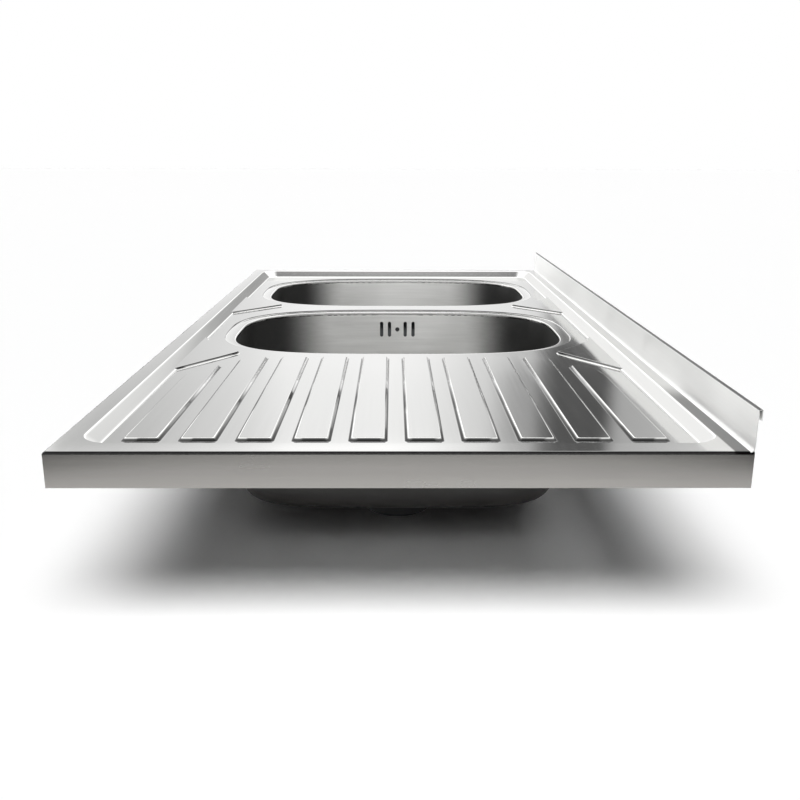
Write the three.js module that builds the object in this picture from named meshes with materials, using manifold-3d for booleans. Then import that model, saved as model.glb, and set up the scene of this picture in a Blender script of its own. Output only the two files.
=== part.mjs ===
// A lay-on stainless steel kitchen sink: one pressed drainboard sheet, two deep bowls,
// an overflow on the bowl beside the drainer, and a basket strainer waste under each bowl.
// Millimetres. +X runs to the drainer's end, +Y to the wall, +Z up. The origin is at the middle
// of the plane that rests on the cabinet, the underside of the rim.
import * as THREE from "three";
import { mergeVertices } from "three/addons/utils/BufferGeometryUtils.js";
import Module from "manifold-3d";

const wasm = await Module();
wasm.setup();

// ---- driving dimensions -------------------------------------------------------------------

const LENGTH = 1200;
const WIDTH = 600;
const SHEET = 0.8; // steel thickness
const GAP = 0.3; // clearance between pieces that touch

const APRON_HEIGHT = 31.5; // below the cabinet's top plane
const UPSTAND_HEIGHT = 38; // above the cabinet's top plane
const HEM_DEPTH = 4; // how far the upstand's folded top reaches back
const HEM_DROP = 10;

const RIM_DRAINER_END = 24; // flat rim left round the pressed recess
const RIM_BOWL_END = 19;
const RIM_SIDE = 19;
const SLOPE_SIDE = 15.5; // run of the sloping band between rim and deck
const SLOPE_BOWL_END = 20;
const SLOPE_DRAINER_END = 8;
const RECESS_RADIUS = 28; // of the recess's corners at the rim, and then at the deck
const DECK_RADIUS = 16;
const DECK_DROP_DRAINER = 7.5; // the deck falls towards the bowls
const DECK_DROP_BOWLS = 10;

const RIB_COUNT = 10;
const RIB_PITCH = 50.9;
const RIB_CENTRE_Y = -4; // the pattern sits a little towards the front
const RIB_WIDTH = 36;
const RIB_FLANK = 4.2;
const RIB_HEIGHT = 3;
const PAD_BASE_RADIUS = 3.5; // corners of the ribs and wings, at the foot and on top
const PAD_TOP_RADIUS = 2;
const RIB_START = 52; // distances from the drainer's end
const RIB_END = 398;
const OUTER_RIB_END_INNER = 350; // the outer ribs end at a slant beside the wings
const OUTER_RIB_END_OUTER = 300;

// The raised wings beside each bowl: X of the corners on the slope's side and of the tip.
const WINGS = [
  { nearX: 271, tipX: 178, farX: 72, tipY: 196 },
  { nearX: -122, tipX: -196, farX: -280, tipY: 190 },
];
const WING_CLEARANCE = 0.3; // between a wing and the slope

const BOWL_HALF_X = 157;
const BOWL_HALF_Y = 234;
const BOWL_CENTRES = [9, -369]; // X of the bowl beside the drainer, and of the end bowl
const BOWL_EXPONENT = 3.3; // squareness of the bowl's plan: 2 is an ellipse
const BOWL_EXPONENT_LOW = 4.6;
const RING_X = 14; // pressed ring round each bowl's mouth
const RING_Y = 15;
const RING_EXPONENT = 3;
const RING_STEP = 2; // run of the step down from the deck
const LEDGE_DROP = 1.8;
const LEDGE_FALL = 0.4; // of the ledge towards the bowl
const LIP_INSET = 2;
const LIP_DROP = 4;
const BOWL_FLOOR = -241; // inside floor level
const BOWL_TAPER = 4;
const BOWL_CORNER = 32; // radius between wall and floor
const WASTE_HOLE = 45;
const WASTE_RECESS = 59;
const WASTE_RECESS_DROP = 3;
const WASTE_RECESS_RUN = 2;

const SLOT_HEIGHT = 25;
const SLOT_WIDTH = 5.5;
const SLOT_PITCH = 13;
const OVERFLOW_Z = -40;

// ---- materials ----------------------------------------------------------------------------

const steel = new THREE.MeshStandardMaterial({ color: 0xc4c4c2, roughness: 0.3, metalness: 1 });
const satinSteel = new THREE.MeshStandardMaterial({ color: 0x9b9b9a, roughness: 0.42, metalness: 1 });
const polishedSteel = new THREE.MeshStandardMaterial({ color: 0xd6d6d4, roughness: 0.14, metalness: 1 });
const rubber = new THREE.MeshStandardMaterial({ color: 0x1d1d1e, roughness: 0.85, metalness: 0 });
const greyPlastic = new THREE.MeshStandardMaterial({ color: 0x4a4c4f, roughness: 0.5, metalness: 0 });
const whitePlastic = new THREE.MeshStandardMaterial({ color: 0xe2e2de, roughness: 0.45, metalness: 0 });
const bitumen = new THREE.MeshStandardMaterial({ color: 0x2b2a29, roughness: 0.95, metalness: 0 });

// ---- solids -------------------------------------------------------------------------------

// A closed three.js geometry as a solid that can be joined and cut.
function toSolid(geometry) {
  const bare = geometry.clone();
  bare.deleteAttribute("normal");
  bare.deleteAttribute("uv");
  const merged = mergeVertices(bare, 1e-4);
  return new wasm.Manifold(
    new wasm.Mesh({
      numProp: 3,
      vertProperties: merged.attributes.position.array,
      triVerts: new Uint32Array(merged.index.array),
    }),
  );
}

function toGeometry(solid) {
  const mesh = solid.getMesh();
  const geometry = new THREE.BufferGeometry();
  geometry.setAttribute("position", new THREE.BufferAttribute(mesh.vertProperties, 3));
  geometry.setIndex(new THREE.BufferAttribute(mesh.triVerts, 1));
  geometry.computeVertexNormals();
  return geometry;
}

const join = (first, ...rest) =>
  toGeometry(rest.reduce((solid, next) => solid.add(toSolid(next)), toSolid(first)));
const cut = (body, ...tools) =>
  toGeometry(tools.reduce((solid, tool) => solid.subtract(toSolid(tool)), toSolid(body)));

// A geometry from a flat list of corner points, three to a triangle.
function fromCorners(corners) {
  const geometry = new THREE.BufferGeometry().setFromPoints(corners);
  return mergeVertices(geometry, 1e-4);
}

// A solid of revolution about Z. The profile is a list of [radius, z] that closes on itself or
// starts and ends on the axis, run with the material on its left.
function turned(profile, segments = 20) {
  const points = profile.map(([radius, z]) => new THREE.Vector2(radius, z));
  return new THREE.LatheGeometry(points, segments).rotateX(Math.PI / 2);
}

// A ring with a rectangular section.
function washer(inner, outer, bottom, top, segments = 20) {
  const section = [[inner, bottom], [outer, bottom], [outer, top], [inner, top], [inner, bottom]];
  return turned(section, segments);
}

function rod(radius, bottom, top, segments = 16) {
  return turned([[0, bottom], [radius, bottom], [radius, top], [0, top]], segments);
}

function block(width, depth, height, x, y, z) {
  return new THREE.BoxGeometry(width, depth, height).translate(x, y, z);
}

function extruded(shape, height, curveSegments = 4) {
  return new THREE.ExtrudeGeometry(shape, { depth: height, bevelEnabled: false, curveSegments });
}

function roundedRectangle(width, height, radius) {
  const shape = new THREE.Shape();
  const x = width / 2 - radius;
  const y = height / 2 - radius;
  shape.absarc(x, y, radius, 0, Math.PI / 2);
  shape.absarc(-x, y, radius, Math.PI / 2, Math.PI);
  shape.absarc(-x, -y, radius, Math.PI, 1.5 * Math.PI);
  shape.absarc(x, -y, radius, 1.5 * Math.PI, 2 * Math.PI);
  return shape;
}

// ---- rings of points ----------------------------------------------------------------------

const BOWL_POINTS = 40;

// An oval between an ellipse and a rectangle, counter-clockwise seen from above.
function ovalRing(centreX, halfX, halfY, exponent, heightAt, count = BOWL_POINTS) {
  return Array.from({ length: count }, (_, i) => {
    const angle = (2 * Math.PI * (i + 0.5)) / count;
    const power = (value) => Math.sign(value) * Math.abs(value) ** (2 / exponent);
    const x = centreX + halfX * power(Math.cos(angle));
    return new THREE.Vector3(x, halfY * power(Math.sin(angle)), heightAt(x));
  });
}

// A polygon's corners moved in by a distance, then rounded; counter-clockwise.
function roundedRing(corners, inset, radius, heightAt, steps = 2) {
  const count = corners.length;
  const sides = corners.map(([x, y], i) => {
    const [nextX, nextY] = corners[(i + 1) % count];
    const along = new THREE.Vector2(nextX - x, nextY - y).normalize();
    const start = new THREE.Vector2(x - along.y * inset, y + along.x * inset);
    return { start, along };
  });
  const moved = sides.map((side, i) => {
    const before = sides[(i + count - 1) % count];
    const offset = side.start.clone().sub(before.start);
    const reach = offset.cross(side.along) / before.along.cross(side.along);
    return before.start.clone().addScaledVector(before.along, reach);
  });
  return moved.flatMap((corner, i) => {
    const before = moved[(i + count - 1) % count].clone().sub(corner).setLength(radius);
    const after = moved[(i + 1) % count].clone().sub(corner).setLength(radius);
    const curve = new THREE.QuadraticBezierCurve(before.add(corner), corner, after.add(corner));
    return curve.getPoints(steps).map((p) => new THREE.Vector3(p.x, p.y, heightAt(p.x)));
  });
}

// ---- pressed steel sheet ------------------------------------------------------------------

// The upper skin of a pressed sheet, made of flats and sloping bands between rings of points.
class PressedSheet {
  constructor() {
    this.corners = [];
  }

  triangle(a, b, c) {
    const turn = (b.x - a.x) * (c.y - a.y) - (b.y - a.y) * (c.x - a.x);
    this.corners.push(a, ...(turn > 0 ? [b, c] : [c, b]));
  }

  band(outer, inner) {
    outer.forEach((point, i) => {
      const next = (i + 1) % outer.length;
      this.triangle(point, outer[next], inner[next]);
      this.triangle(point, inner[next], inner[i]);
    });
  }

  flat(outline, holes = []) {
    const points = [outline, ...holes].flat();
    const faces = THREE.ShapeUtils.triangulateShape([...outline], holes.map((hole) => [...hole]));
    faces.forEach(([a, b, c]) => this.triangle(points[a], points[b], points[c]));
  }

  // The skin, its copy one thickness lower, and the walls along its outer and inner edges.
  thickened(thickness, outerEdge, innerEdges) {
    const lower = (p) => new THREE.Vector3(p.x, p.y, p.z - thickness);
    const all = [...this.corners];
    for (let i = 0; i < this.corners.length; i += 3) {
      const [a, b, c] = this.corners.slice(i, i + 3).map(lower);
      all.push(c, b, a);
    }
    for (const ring of [outerEdge, ...innerEdges.map((edge) => [...edge].reverse())]) {
      ring.forEach((point, i) => {
        const next = ring[(i + 1) % ring.length];
        all.push(lower(point), lower(next), next);
        all.push(lower(point), next, point);
      });
    }
    return fromCorners(all);
  }
}

const RIM_TOP = SHEET;
const END_X = LENGTH / 2;
const FRONT_Y = -WIDTH / 2;
const UPSTAND_BACK_Y = WIDTH / 2 - HEM_DEPTH + SHEET;
const rimLevel = () => RIM_TOP;

// The deck's upper face: it falls along the drainer and is level round the bowls.
function deckLevel(x) {
  const fallStart = END_X - RIM_DRAINER_END;
  const fallEnd = END_X - RIB_END;
  const along = THREE.MathUtils.clamp((fallStart - x) / (fallStart - fallEnd), 0, 1);
  return -THREE.MathUtils.lerp(DECK_DROP_DRAINER, DECK_DROP_BOWLS, along);
}

// The corners of the pressed recess, each side moved in by its own distance.
function recessCorners(inSide, inDrainerEnd, inBowlEnd) {
  const right = END_X - RIM_DRAINER_END - inDrainerEnd;
  const left = -END_X + RIM_BOWL_END + inBowlEnd;
  const side = WIDTH / 2 - RIM_SIDE - inSide;
  return [[right, -side], [right, side], [left, side], [left, -side]];
}

function ribCorners(index) {
  const y = RIB_CENTRE_Y + (index - (RIB_COUNT - 1) / 2) * RIB_PITCH;
  const near = END_X - RIB_START;
  const outermost = index === 0 || index === RIB_COUNT - 1;
  const farInner = END_X - (outermost ? OUTER_RIB_END_INNER : RIB_END);
  const farOuter = END_X - (outermost ? OUTER_RIB_END_OUTER : RIB_END);
  const [farLow, farHigh] = y < 0 ? [farOuter, farInner] : [farInner, farOuter];
  const half = RIB_WIDTH / 2;
  return [[near, y - half], [near, y + half], [farHigh, y + half], [farLow, y - half]];
}

// A raised triangular wing beside a bowl; side is 1 towards the wall and -1 towards the front.
function wingCorners({ nearX, tipX, farX, tipY }, side) {
  const edge = WIDTH / 2 - RIM_SIDE - SLOPE_SIDE - WING_CLEARANCE;
  const corners = [[nearX, side * edge], [farX, side * edge], [tipX, side * tipY]];
  return side > 0 ? corners : corners.reverse();
}

const raised = (x) => deckLevel(x) + RIB_HEIGHT;

function topSheet() {
  const sheet = new PressedSheet();
  const edge = [[END_X, FRONT_Y], [END_X, UPSTAND_BACK_Y], [-END_X, UPSTAND_BACK_Y], [-END_X, FRONT_Y]]
    .map(([x, y]) => new THREE.Vector3(x, y, RIM_TOP));
  const recessTop = roundedRing(recessCorners(0, 0, 0), 0, RECESS_RADIUS, rimLevel, 4);
  const deckEdge = roundedRing(
    recessCorners(SLOPE_SIDE, SLOPE_DRAINER_END, SLOPE_BOWL_END), 0, DECK_RADIUS, deckLevel, 4);
  sheet.flat(edge, [recessTop]);
  sheet.band(recessTop, deckEdge);

  const pads = Array.from({ length: RIB_COUNT }, (_, i) => ribCorners(i));
  for (const wing of WINGS) pads.push(wingCorners(wing, -1), wingCorners(wing, 1));
  const padBases = pads.map((corners) => roundedRing(corners, 0, PAD_BASE_RADIUS, deckLevel));
  padBases.forEach((base, i) => {
    const top = roundedRing(pads[i], RIB_FLANK, PAD_TOP_RADIUS, raised);
    sheet.band(base, top);
    sheet.flat(top);
  });

  const mouths = BOWL_CENTRES.map((centre) => {
    const level = (drop) => () => -DECK_DROP_BOWLS - drop;
    const oval = (growX, growY, exponent, drop) =>
      ovalRing(centre, BOWL_HALF_X + growX, BOWL_HALF_Y + growY, exponent, level(drop));
    const rings = [
      oval(RING_X, RING_Y, RING_EXPONENT, 0),
      oval(RING_X - RING_STEP, RING_Y - RING_STEP, RING_EXPONENT, LEDGE_DROP),
      oval(0, 0, BOWL_EXPONENT, LEDGE_DROP + LEDGE_FALL),
      oval(-LIP_INSET, -LIP_INSET, BOWL_EXPONENT, LEDGE_DROP + LIP_DROP),
    ];
    rings.slice(1).forEach((ring, i) => sheet.band(rings[i], ring));
    return rings;
  });
  sheet.flat(deckEdge, [...padBases, ...mouths.map((rings) => rings[0])]);
  const pressed = sheet.thickened(SHEET, edge, mouths.map((rings) => rings.at(-1)));
  return join(pressed, apron(), upstand());
}

// The apron folded down along the front and both ends.
function apron() {
  const outline = [
    [-END_X, UPSTAND_BACK_Y], [-END_X, FRONT_Y], [END_X, FRONT_Y], [END_X, UPSTAND_BACK_Y],
    [END_X - SHEET, UPSTAND_BACK_Y], [END_X - SHEET, FRONT_Y + SHEET],
    [-END_X + SHEET, FRONT_Y + SHEET], [-END_X + SHEET, UPSTAND_BACK_Y],
  ];
  const shape = new THREE.Shape(outline.map(([x, y]) => new THREE.Vector2(x, y)));
  return extruded(shape, APRON_HEIGHT + SHEET / 2).translate(0, 0, -APRON_HEIGHT);
}

// The upstand against the wall, with its top folded back and down into an open hem.
function upstand() {
  const face = UPSTAND_BACK_Y - SHEET;
  const back = WIDTH / 2;
  const foot = SHEET / 4; // inside the rim's thickness
  const outline = [
    [face, foot], [UPSTAND_BACK_Y, foot], [UPSTAND_BACK_Y, UPSTAND_HEIGHT - SHEET],
    [back - SHEET, UPSTAND_HEIGHT - SHEET], [back - SHEET, UPSTAND_HEIGHT - HEM_DROP],
    [back, UPSTAND_HEIGHT - HEM_DROP], [back, UPSTAND_HEIGHT], [face, UPSTAND_HEIGHT],
  ];
  const shape = new THREE.Shape(outline.map(([y, z]) => new THREE.Vector2(y, z)));
  const alongX = new THREE.Matrix4().makeBasis(
    new THREE.Vector3(0, 1, 0), new THREE.Vector3(0, 0, 1), new THREE.Vector3(1, 0, 0));
  return extruded(shape, LENGTH).translate(0, 0, -END_X).applyMatrix4(alongX);
}

// ---- bowls --------------------------------------------------------------------------------

// Rings of points, each joined to the next and the last to the first, as a closed skin.
function loftedLoop(rings) {
  const corners = [];
  rings.forEach((ring, r) => {
    const nextRing = rings[(r + 1) % rings.length];
    ring.forEach((point, i) => {
      const next = (i + 1) % ring.length;
      corners.push(point, ring[next], nextRing[next]);
      corners.push(point, nextRing[next], nextRing[i]);
    });
  });
  return fromCorners(corners);
}

const LIP_BOTTOM = -DECK_DROP_BOWLS - LEDGE_DROP - LIP_DROP - SHEET;
const WALL_HALF_X = BOWL_HALF_X - LIP_INSET;
const WALL_HALF_Y = BOWL_HALF_Y - LIP_INSET;

// One skin of a bowl from its mouth to the waste hole, grown outwards by an offset.
function bowlSkin(centre, offset) {
  const rings = [];
  const wallBottom = BOWL_FLOOR + BOWL_CORNER;
  const wallRing = (inset, exponent, z) =>
    ovalRing(centre, WALL_HALF_X - inset + offset, WALL_HALF_Y - inset + offset, exponent, () => z);
  const top = LIP_BOTTOM - GAP;
  rings.push(wallRing(0, BOWL_EXPONENT, top));
  rings.push(wallRing(BOWL_TAPER, BOWL_EXPONENT_LOW, wallBottom));
  for (const degrees of [30, 60, 90]) {
    const angle = THREE.MathUtils.degToRad(degrees);
    const inset = BOWL_TAPER + BOWL_CORNER * (1 - Math.cos(angle));
    rings.push(wallRing(inset, BOWL_EXPONENT_LOW, wallBottom - (BOWL_CORNER + offset) * Math.sin(angle)));
  }
  const floor = BOWL_FLOOR - offset;
  const roundRing = (radius, z) => ovalRing(centre, radius, radius, 2, () => z);
  rings.push(roundRing(WASTE_RECESS + offset, floor));
  rings.push(roundRing(WASTE_RECESS - WASTE_RECESS_RUN + offset, floor - WASTE_RECESS_DROP));
  rings.push(roundRing(WASTE_HOLE, floor - WASTE_RECESS_DROP));
  return rings;
}

function bowl(centre) {
  const inside = bowlSkin(centre, 0);
  const outside = bowlSkin(centre, SHEET);
  return loftedLoop([...outside, ...inside.reverse()].reverse());
}

// A slot, or a round hole where height equals width, through the wall that faces the end bowl.
function wallCutter(width, height, y) {
  const length = 20;
  return extruded(roundedRectangle(width, height, width / 2 - 0.01), length, 3)
    .translate(y, 0, -length / 2)
    .applyMatrix4(FROM_OVERFLOW_WALL);
}

// ---- overflow -----------------------------------------------------------------------------

const WALL_LEAN = 0.7; // how far the leaning wall has come in at the overflow's height
const OVERFLOW_WALL_X = BOWL_CENTRES[0] - WALL_HALF_X + WALL_LEAN;
// Local X runs across the wall, local Y up and local Z away from the drainer.
const FROM_OVERFLOW_WALL = new THREE.Matrix4()
  .makeBasis(new THREE.Vector3(0, -1, 0), new THREE.Vector3(0, 0, 1), new THREE.Vector3(-1, 0, 0))
  .setPosition(OVERFLOW_WALL_X, 0, OVERFLOW_Z);

const OVERFLOW_WIDTH = 74;
const OVERFLOW_TALL = 42;
const OVERFLOW_CORNER = 6;
const GASKET_THICK = 2;
const GASKET_WIDTH = 5;
const GASKET_FACE = SHEET + GAP + 0.5; // the wall leans, so a little clear of it
const BOX_FACE = GASKET_FACE + GASKET_THICK + GAP;
const BOX_DEPTH = 15;
const BOX_WALL = 2;
const BOSS_RADIUS = 4.5;
const SCREW_RADIUS = 2;
const SCREW_HEAD_RADIUS = 3.6;
const SCREW_LENGTH = 14;
const HOSE_BORE = 7.5;
const HOSE_SIDES = 8;
const SPIGOT_RADIUS = HOSE_BORE * Math.cos(Math.PI / HOSE_SIDES) - GAP;
const SPIGOT_BORE = 5;
const SPIGOT_LENGTH = 18; // of each spigot inside its hose cuff

function overflowGasket() {
  const shape = roundedRectangle(OVERFLOW_WIDTH, OVERFLOW_TALL, OVERFLOW_CORNER);
  const inner = roundedRectangle(
    OVERFLOW_WIDTH - 2 * GASKET_WIDTH, OVERFLOW_TALL - 2 * GASKET_WIDTH, OVERFLOW_CORNER / 2);
  shape.holes.push(inner);
  return extruded(shape, GASKET_THICK, 3).translate(0, 0, GASKET_FACE).applyMatrix4(FROM_OVERFLOW_WALL);
}

const HOSE_TOP_Z = OVERFLOW_Z - OVERFLOW_TALL / 2 - 3;
const HOSE_X = OVERFLOW_WALL_X - BOX_FACE - BOX_DEPTH / 2 - 2.5;

// The box behind the slots: open to the wall, with a boss for its screw and a spigot below.
function overflowBox() {
  const shape = (inset) =>
    roundedRectangle(OVERFLOW_WIDTH - 2 * inset, OVERFLOW_TALL - 2 * inset, OVERFLOW_CORNER - inset);
  const outer = extruded(shape(0), BOX_DEPTH);
  const inner = extruded(shape(BOX_WALL), BOX_DEPTH);
  const boss = rod(BOSS_RADIUS, 0, BOX_DEPTH - BOX_WALL);
  const screwHole = rod(SCREW_RADIUS + GAP, -1, BOX_DEPTH - 1.5 * BOX_WALL);
  const place = (geometry) => geometry.translate(0, 0, BOX_FACE).applyMatrix4(FROM_OVERFLOW_WALL);
  const spigotTop = OVERFLOW_Z - OVERFLOW_TALL / 2 + BOX_WALL / 2;
  const spigot = rod(SPIGOT_RADIUS, HOSE_TOP_Z - SPIGOT_LENGTH, spigotTop).translate(HOSE_X, 0, 0);
  const boreTop = spigotTop + 2 * BOX_WALL;
  const bore = rod(SPIGOT_BORE, HOSE_TOP_Z - SPIGOT_LENGTH - 2, boreTop).translate(HOSE_X, 0, 0);
  const shell = cut(place(outer), place(inner.translate(0, 0, -BOX_WALL)));
  return cut(join(shell, place(boss), spigot), place(screwHole), bore);
}

function overflowScrew() {
  const edge = SCREW_HEAD_RADIUS;
  const dome = [[0, -2.4], [edge / 2, -2.2], [edge - 0.2, -1.2], [edge, 0]];
  const shaft = [[SCREW_RADIUS, 0], [SCREW_RADIUS, SCREW_LENGTH - 1], [0, SCREW_LENGTH]];
  return turned([...dome, ...shaft], 16).translate(0, 0, -GAP).applyMatrix4(FROM_OVERFLOW_WALL);
}

// The hose falls behind the bowl, turns under it and runs level to the waste.
const HOSE_LEVEL = -263;
const HOSE_BEND = 50;
const WASTE_SPIGOT_X = BOWL_CENTRES[0] - 50;
const HOSE_END_X = WASTE_SPIGOT_X - 3;
const HOSE_CREST = 10.5;
const HOSE_ROOT = 8.7;
const HOSE_CUFF = 9.4;
const HOSE_CUFF_LENGTH = 21;
const HOSE_RIBS = 40;
const CREST_SHARE = 0.35; // where in a rib's length its crest and its root lie
const ROOT_SHARE = 0.85;
const RIBS_PER_BORE_RING = 5;
const CLIP_FROM_END = 10;
const CLIP_WIDTH = 8;
const CLIP_THICK = 1.4;

function hoseRoute() {
  const turn = new THREE.Vector3(HOSE_X + HOSE_BEND, 0, HOSE_LEVEL + HOSE_BEND);
  const route = new THREE.CurvePath();
  const bendStart = new THREE.Vector3(HOSE_X, 0, turn.z);
  const bendEnd = new THREE.Vector3(turn.x, 0, HOSE_LEVEL);
  route.add(new THREE.LineCurve3(new THREE.Vector3(HOSE_X, 0, HOSE_TOP_Z), bendStart));
  route.add(new QuarterBend(turn, HOSE_BEND));
  route.add(new THREE.LineCurve3(bendEnd, new THREE.Vector3(HOSE_END_X, 0, HOSE_LEVEL)));
  return route;
}

// A quarter circle in the XZ plane from straight down to straight along +X.
class QuarterBend extends THREE.Curve {
  constructor(centre, radius) {
    super();
    this.centre = centre;
    this.radius = radius;
  }

  getPoint(t, target = new THREE.Vector3()) {
    const angle = Math.PI + (t * Math.PI) / 2;
    const offset = new THREE.Vector3(Math.cos(angle), 0, Math.sin(angle));
    return target.copy(this.centre).addScaledVector(offset, this.radius);
  }
}

// A ribbed hose: a crest and a root ring for each rib outside, plain cuffs, and a smooth bore.
function ribbedHose() {
  const route = hoseRoute();
  const length = route.getLength();
  const ribbed = length - 2 * HOSE_CUFF_LENGTH;
  const ringAt = (distance, radius) => {
    const u = THREE.MathUtils.clamp(distance / length, 0, 1);
    const centre = route.getPointAt(u);
    const ahead = route.getTangentAt(u);
    const across = new THREE.Vector3(0, 1, 0);
    const up = across.clone().cross(ahead);
    return Array.from({ length: HOSE_SIDES }, (_, i) => {
      const angle = (2 * Math.PI * i) / HOSE_SIDES;
      return centre.clone()
        .addScaledVector(up, radius * Math.cos(angle))
        .addScaledVector(across, -radius * Math.sin(angle));
    });
  };
  const outside = [ringAt(0, HOSE_CUFF), ringAt(HOSE_CUFF_LENGTH, HOSE_CUFF)];
  for (let rib = 0; rib < HOSE_RIBS; rib++) {
    const start = HOSE_CUFF_LENGTH + (ribbed * rib) / HOSE_RIBS;
    outside.push(ringAt(start + (CREST_SHARE * ribbed) / HOSE_RIBS, HOSE_CREST));
    outside.push(ringAt(start + (ROOT_SHARE * ribbed) / HOSE_RIBS, HOSE_ROOT));
  }
  outside.push(ringAt(length - HOSE_CUFF_LENGTH + 1, HOSE_CUFF), ringAt(length, HOSE_CUFF));
  const boreSteps = Math.ceil(HOSE_RIBS / RIBS_PER_BORE_RING) + 2;
  const bore = Array.from({ length: boreSteps + 1 }, (_, i) =>
    ringAt((length * i) / boreSteps, HOSE_BORE));
  return loftedLoop([...outside, ...bore.reverse()].reverse());
}

// A band clip round a hose cuff, with the lug that its screw draws together.
function hoseClip() {
  const inner = HOSE_CUFF + GAP;
  const band = washer(inner, inner + CLIP_THICK, -CLIP_WIDTH / 2, CLIP_WIDTH / 2, 16);
  const lug = block(9, 5, CLIP_WIDTH, -HOSE_CUFF - 5, 0, 0);
  return join(band, lug);
}

// ---- basket strainer waste, about Z at the bowl's centre ----------------------------------

const RECESS_FACE = BOWL_FLOOR - WASTE_RECESS_DROP; // steel under the flange
const UNDERSIDE = RECESS_FACE - SHEET;
const FLANGE_RADIUS = 55;
const SEAL_THICK = 1;
const FLANGE_BOTTOM = RECESS_FACE + GAP + SEAL_THICK + GAP;
const CUP_RADIUS = 43.5;
const CUP_WALL = 1;
const CUP_FLOOR = -267; // upper face
const CUP_OPENING = 20;
const HUB_RADIUS = 7;
const SPOKES = 4;
const SPOKE_WIDTH = 4;

function flangeSeal() {
  const bottom = RECESS_FACE + GAP;
  return washer(WASTE_HOLE + 1, FLANGE_RADIUS - 1, bottom, bottom + SEAL_THICK);
}

// Flange, cup wall and a floor whose round opening is bridged by spokes that carry the hub.
function strainerCup() {
  const top = FLANGE_BOTTOM + CUP_WALL;
  const shell = turned([
    [CUP_OPENING, CUP_FLOOR - CUP_WALL], [CUP_RADIUS, CUP_FLOOR - CUP_WALL], [CUP_RADIUS, FLANGE_BOTTOM],
    [FLANGE_RADIUS, FLANGE_BOTTOM], [FLANGE_RADIUS - 0.5, top], [CUP_RADIUS - CUP_WALL, top - 0.4],
    [CUP_RADIUS - CUP_WALL, CUP_FLOOR], [CUP_OPENING, CUP_FLOOR], [CUP_OPENING, CUP_FLOOR - CUP_WALL],
  ], 24);
  const floorMiddle = CUP_FLOOR - CUP_WALL / 2;
  const spokeLength = 2 * CUP_OPENING + 4;
  const hub = rod(HUB_RADIUS, CUP_FLOOR - CUP_WALL, CUP_FLOOR, 16);
  const spokes = Array.from({ length: SPOKES / 2 }, (_, i) =>
    block(spokeLength, SPOKE_WIDTH, CUP_WALL * 0.9, 0, 0, floorMiddle)
      .rotateZ((i * Math.PI * 2) / SPOKES));
  return cut(join(shell, hub, ...spokes), rod(SCREW_HOLE, CUP_FLOOR - 5, CUP_FLOOR + 5, 12));
}

const CLAMP_SCREW_RADIUS = 3.4;
const CLAMP_HEAD_RADIUS = 6;
const SCREW_HOLE = CLAMP_SCREW_RADIUS + GAP;
const BODY_SEAL_THICK = 3;
const BODY_TOP = UNDERSIDE - GAP - BODY_SEAL_THICK - GAP;
const BODY_RADIUS = 50;
const BODY_FLANGE = 55;
const BODY_WALL = 3;
const BODY_BOTTOM = -288;
const BODY_FLOOR = BODY_BOTTOM + 2.5;
const BODY_FLANGE_THICK = 4;
const BODY_BOSS = 8;
const OUTLET_Z = -267;
const OUTLET_RADIUS = 17;
const OUTLET_BORE = 14;
const OUTLET_END = 92; // from the waste's axis to the outlet's face

function bodySeal() {
  return washer(WASTE_HOLE + 1, BODY_FLANGE - 1, BODY_TOP + GAP, UNDERSIDE - GAP);
}

const alongY = (geometry) => geometry.rotateX(-Math.PI / 2).translate(0, 0, OUTLET_Z);

// The lower body: a shallow pot with a screw boss, an outlet towards the wall and, under the
// bowl beside the drainer, a spigot for the overflow hose.
function wasteBody(hasOverflow) {
  const inner = BODY_RADIUS - BODY_WALL;
  const bossTop = CUP_FLOOR - CUP_WALL - GAP;
  const pot = turned([
    [0, BODY_BOTTOM], [BODY_RADIUS - 3, BODY_BOTTOM], [BODY_RADIUS, BODY_BOTTOM + 3],
    [BODY_RADIUS, BODY_TOP - BODY_FLANGE_THICK], [BODY_FLANGE, BODY_TOP - BODY_FLANGE_THICK],
    [BODY_FLANGE, BODY_TOP], [inner, BODY_TOP], [inner, BODY_FLOOR], [BODY_BOSS, BODY_FLOOR],
    [BODY_BOSS, bossTop],
    [SCREW_HOLE, bossTop], [SCREW_HOLE, BODY_FLOOR + 1], [0, BODY_FLOOR + 1],
  ]);
  const wallMiddle = BODY_RADIUS - BODY_WALL / 2;
  const parts = [alongY(rod(OUTLET_RADIUS, wallMiddle - 0.5, OUTLET_END, 20))];
  const bores = [alongY(rod(OUTLET_BORE, inner - 6, OUTLET_END + 2, 20))];
  if (hasOverflow) {
    const alongMinusX = (geometry) => geometry.rotateY(-Math.PI / 2).translate(0, 0, HOSE_LEVEL);
    const tip = BOWL_CENTRES[0] - HOSE_END_X + SPIGOT_LENGTH - 1;
    parts.push(alongMinusX(rod(SPIGOT_RADIUS, wallMiddle, tip)));
    bores.push(alongMinusX(rod(SPIGOT_BORE, inner - 4, tip + 2)));
  }
  return cut(join(pot, ...parts), ...bores);
}

function clampScrew() {
  const shaftTop = CUP_FLOOR + GAP;
  return turned([
    [0, BODY_FLOOR + 2], [CLAMP_SCREW_RADIUS, BODY_FLOOR + 3], [CLAMP_SCREW_RADIUS, shaftTop],
    [CLAMP_HEAD_RADIUS, shaftTop], [CLAMP_HEAD_RADIUS, shaftTop + 1.2],
    [CLAMP_HEAD_RADIUS - 2.5, shaftTop + 2.4], [0, shaftTop + 2.6],
  ], 16);
}

const NUT_LENGTH = 20;
const NUT_LOBES = 10;
const NUT_LOBE_RADIUS = OUTLET_RADIUS + 4;
const NUT_GROOVE_RADIUS = OUTLET_RADIUS + 3;
const NUT_LIP = 2.5;
const OUTLET_SEAL_THICK = 3;
const OUTLET_SEAL_FACE = OUTLET_END + GAP;

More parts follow.
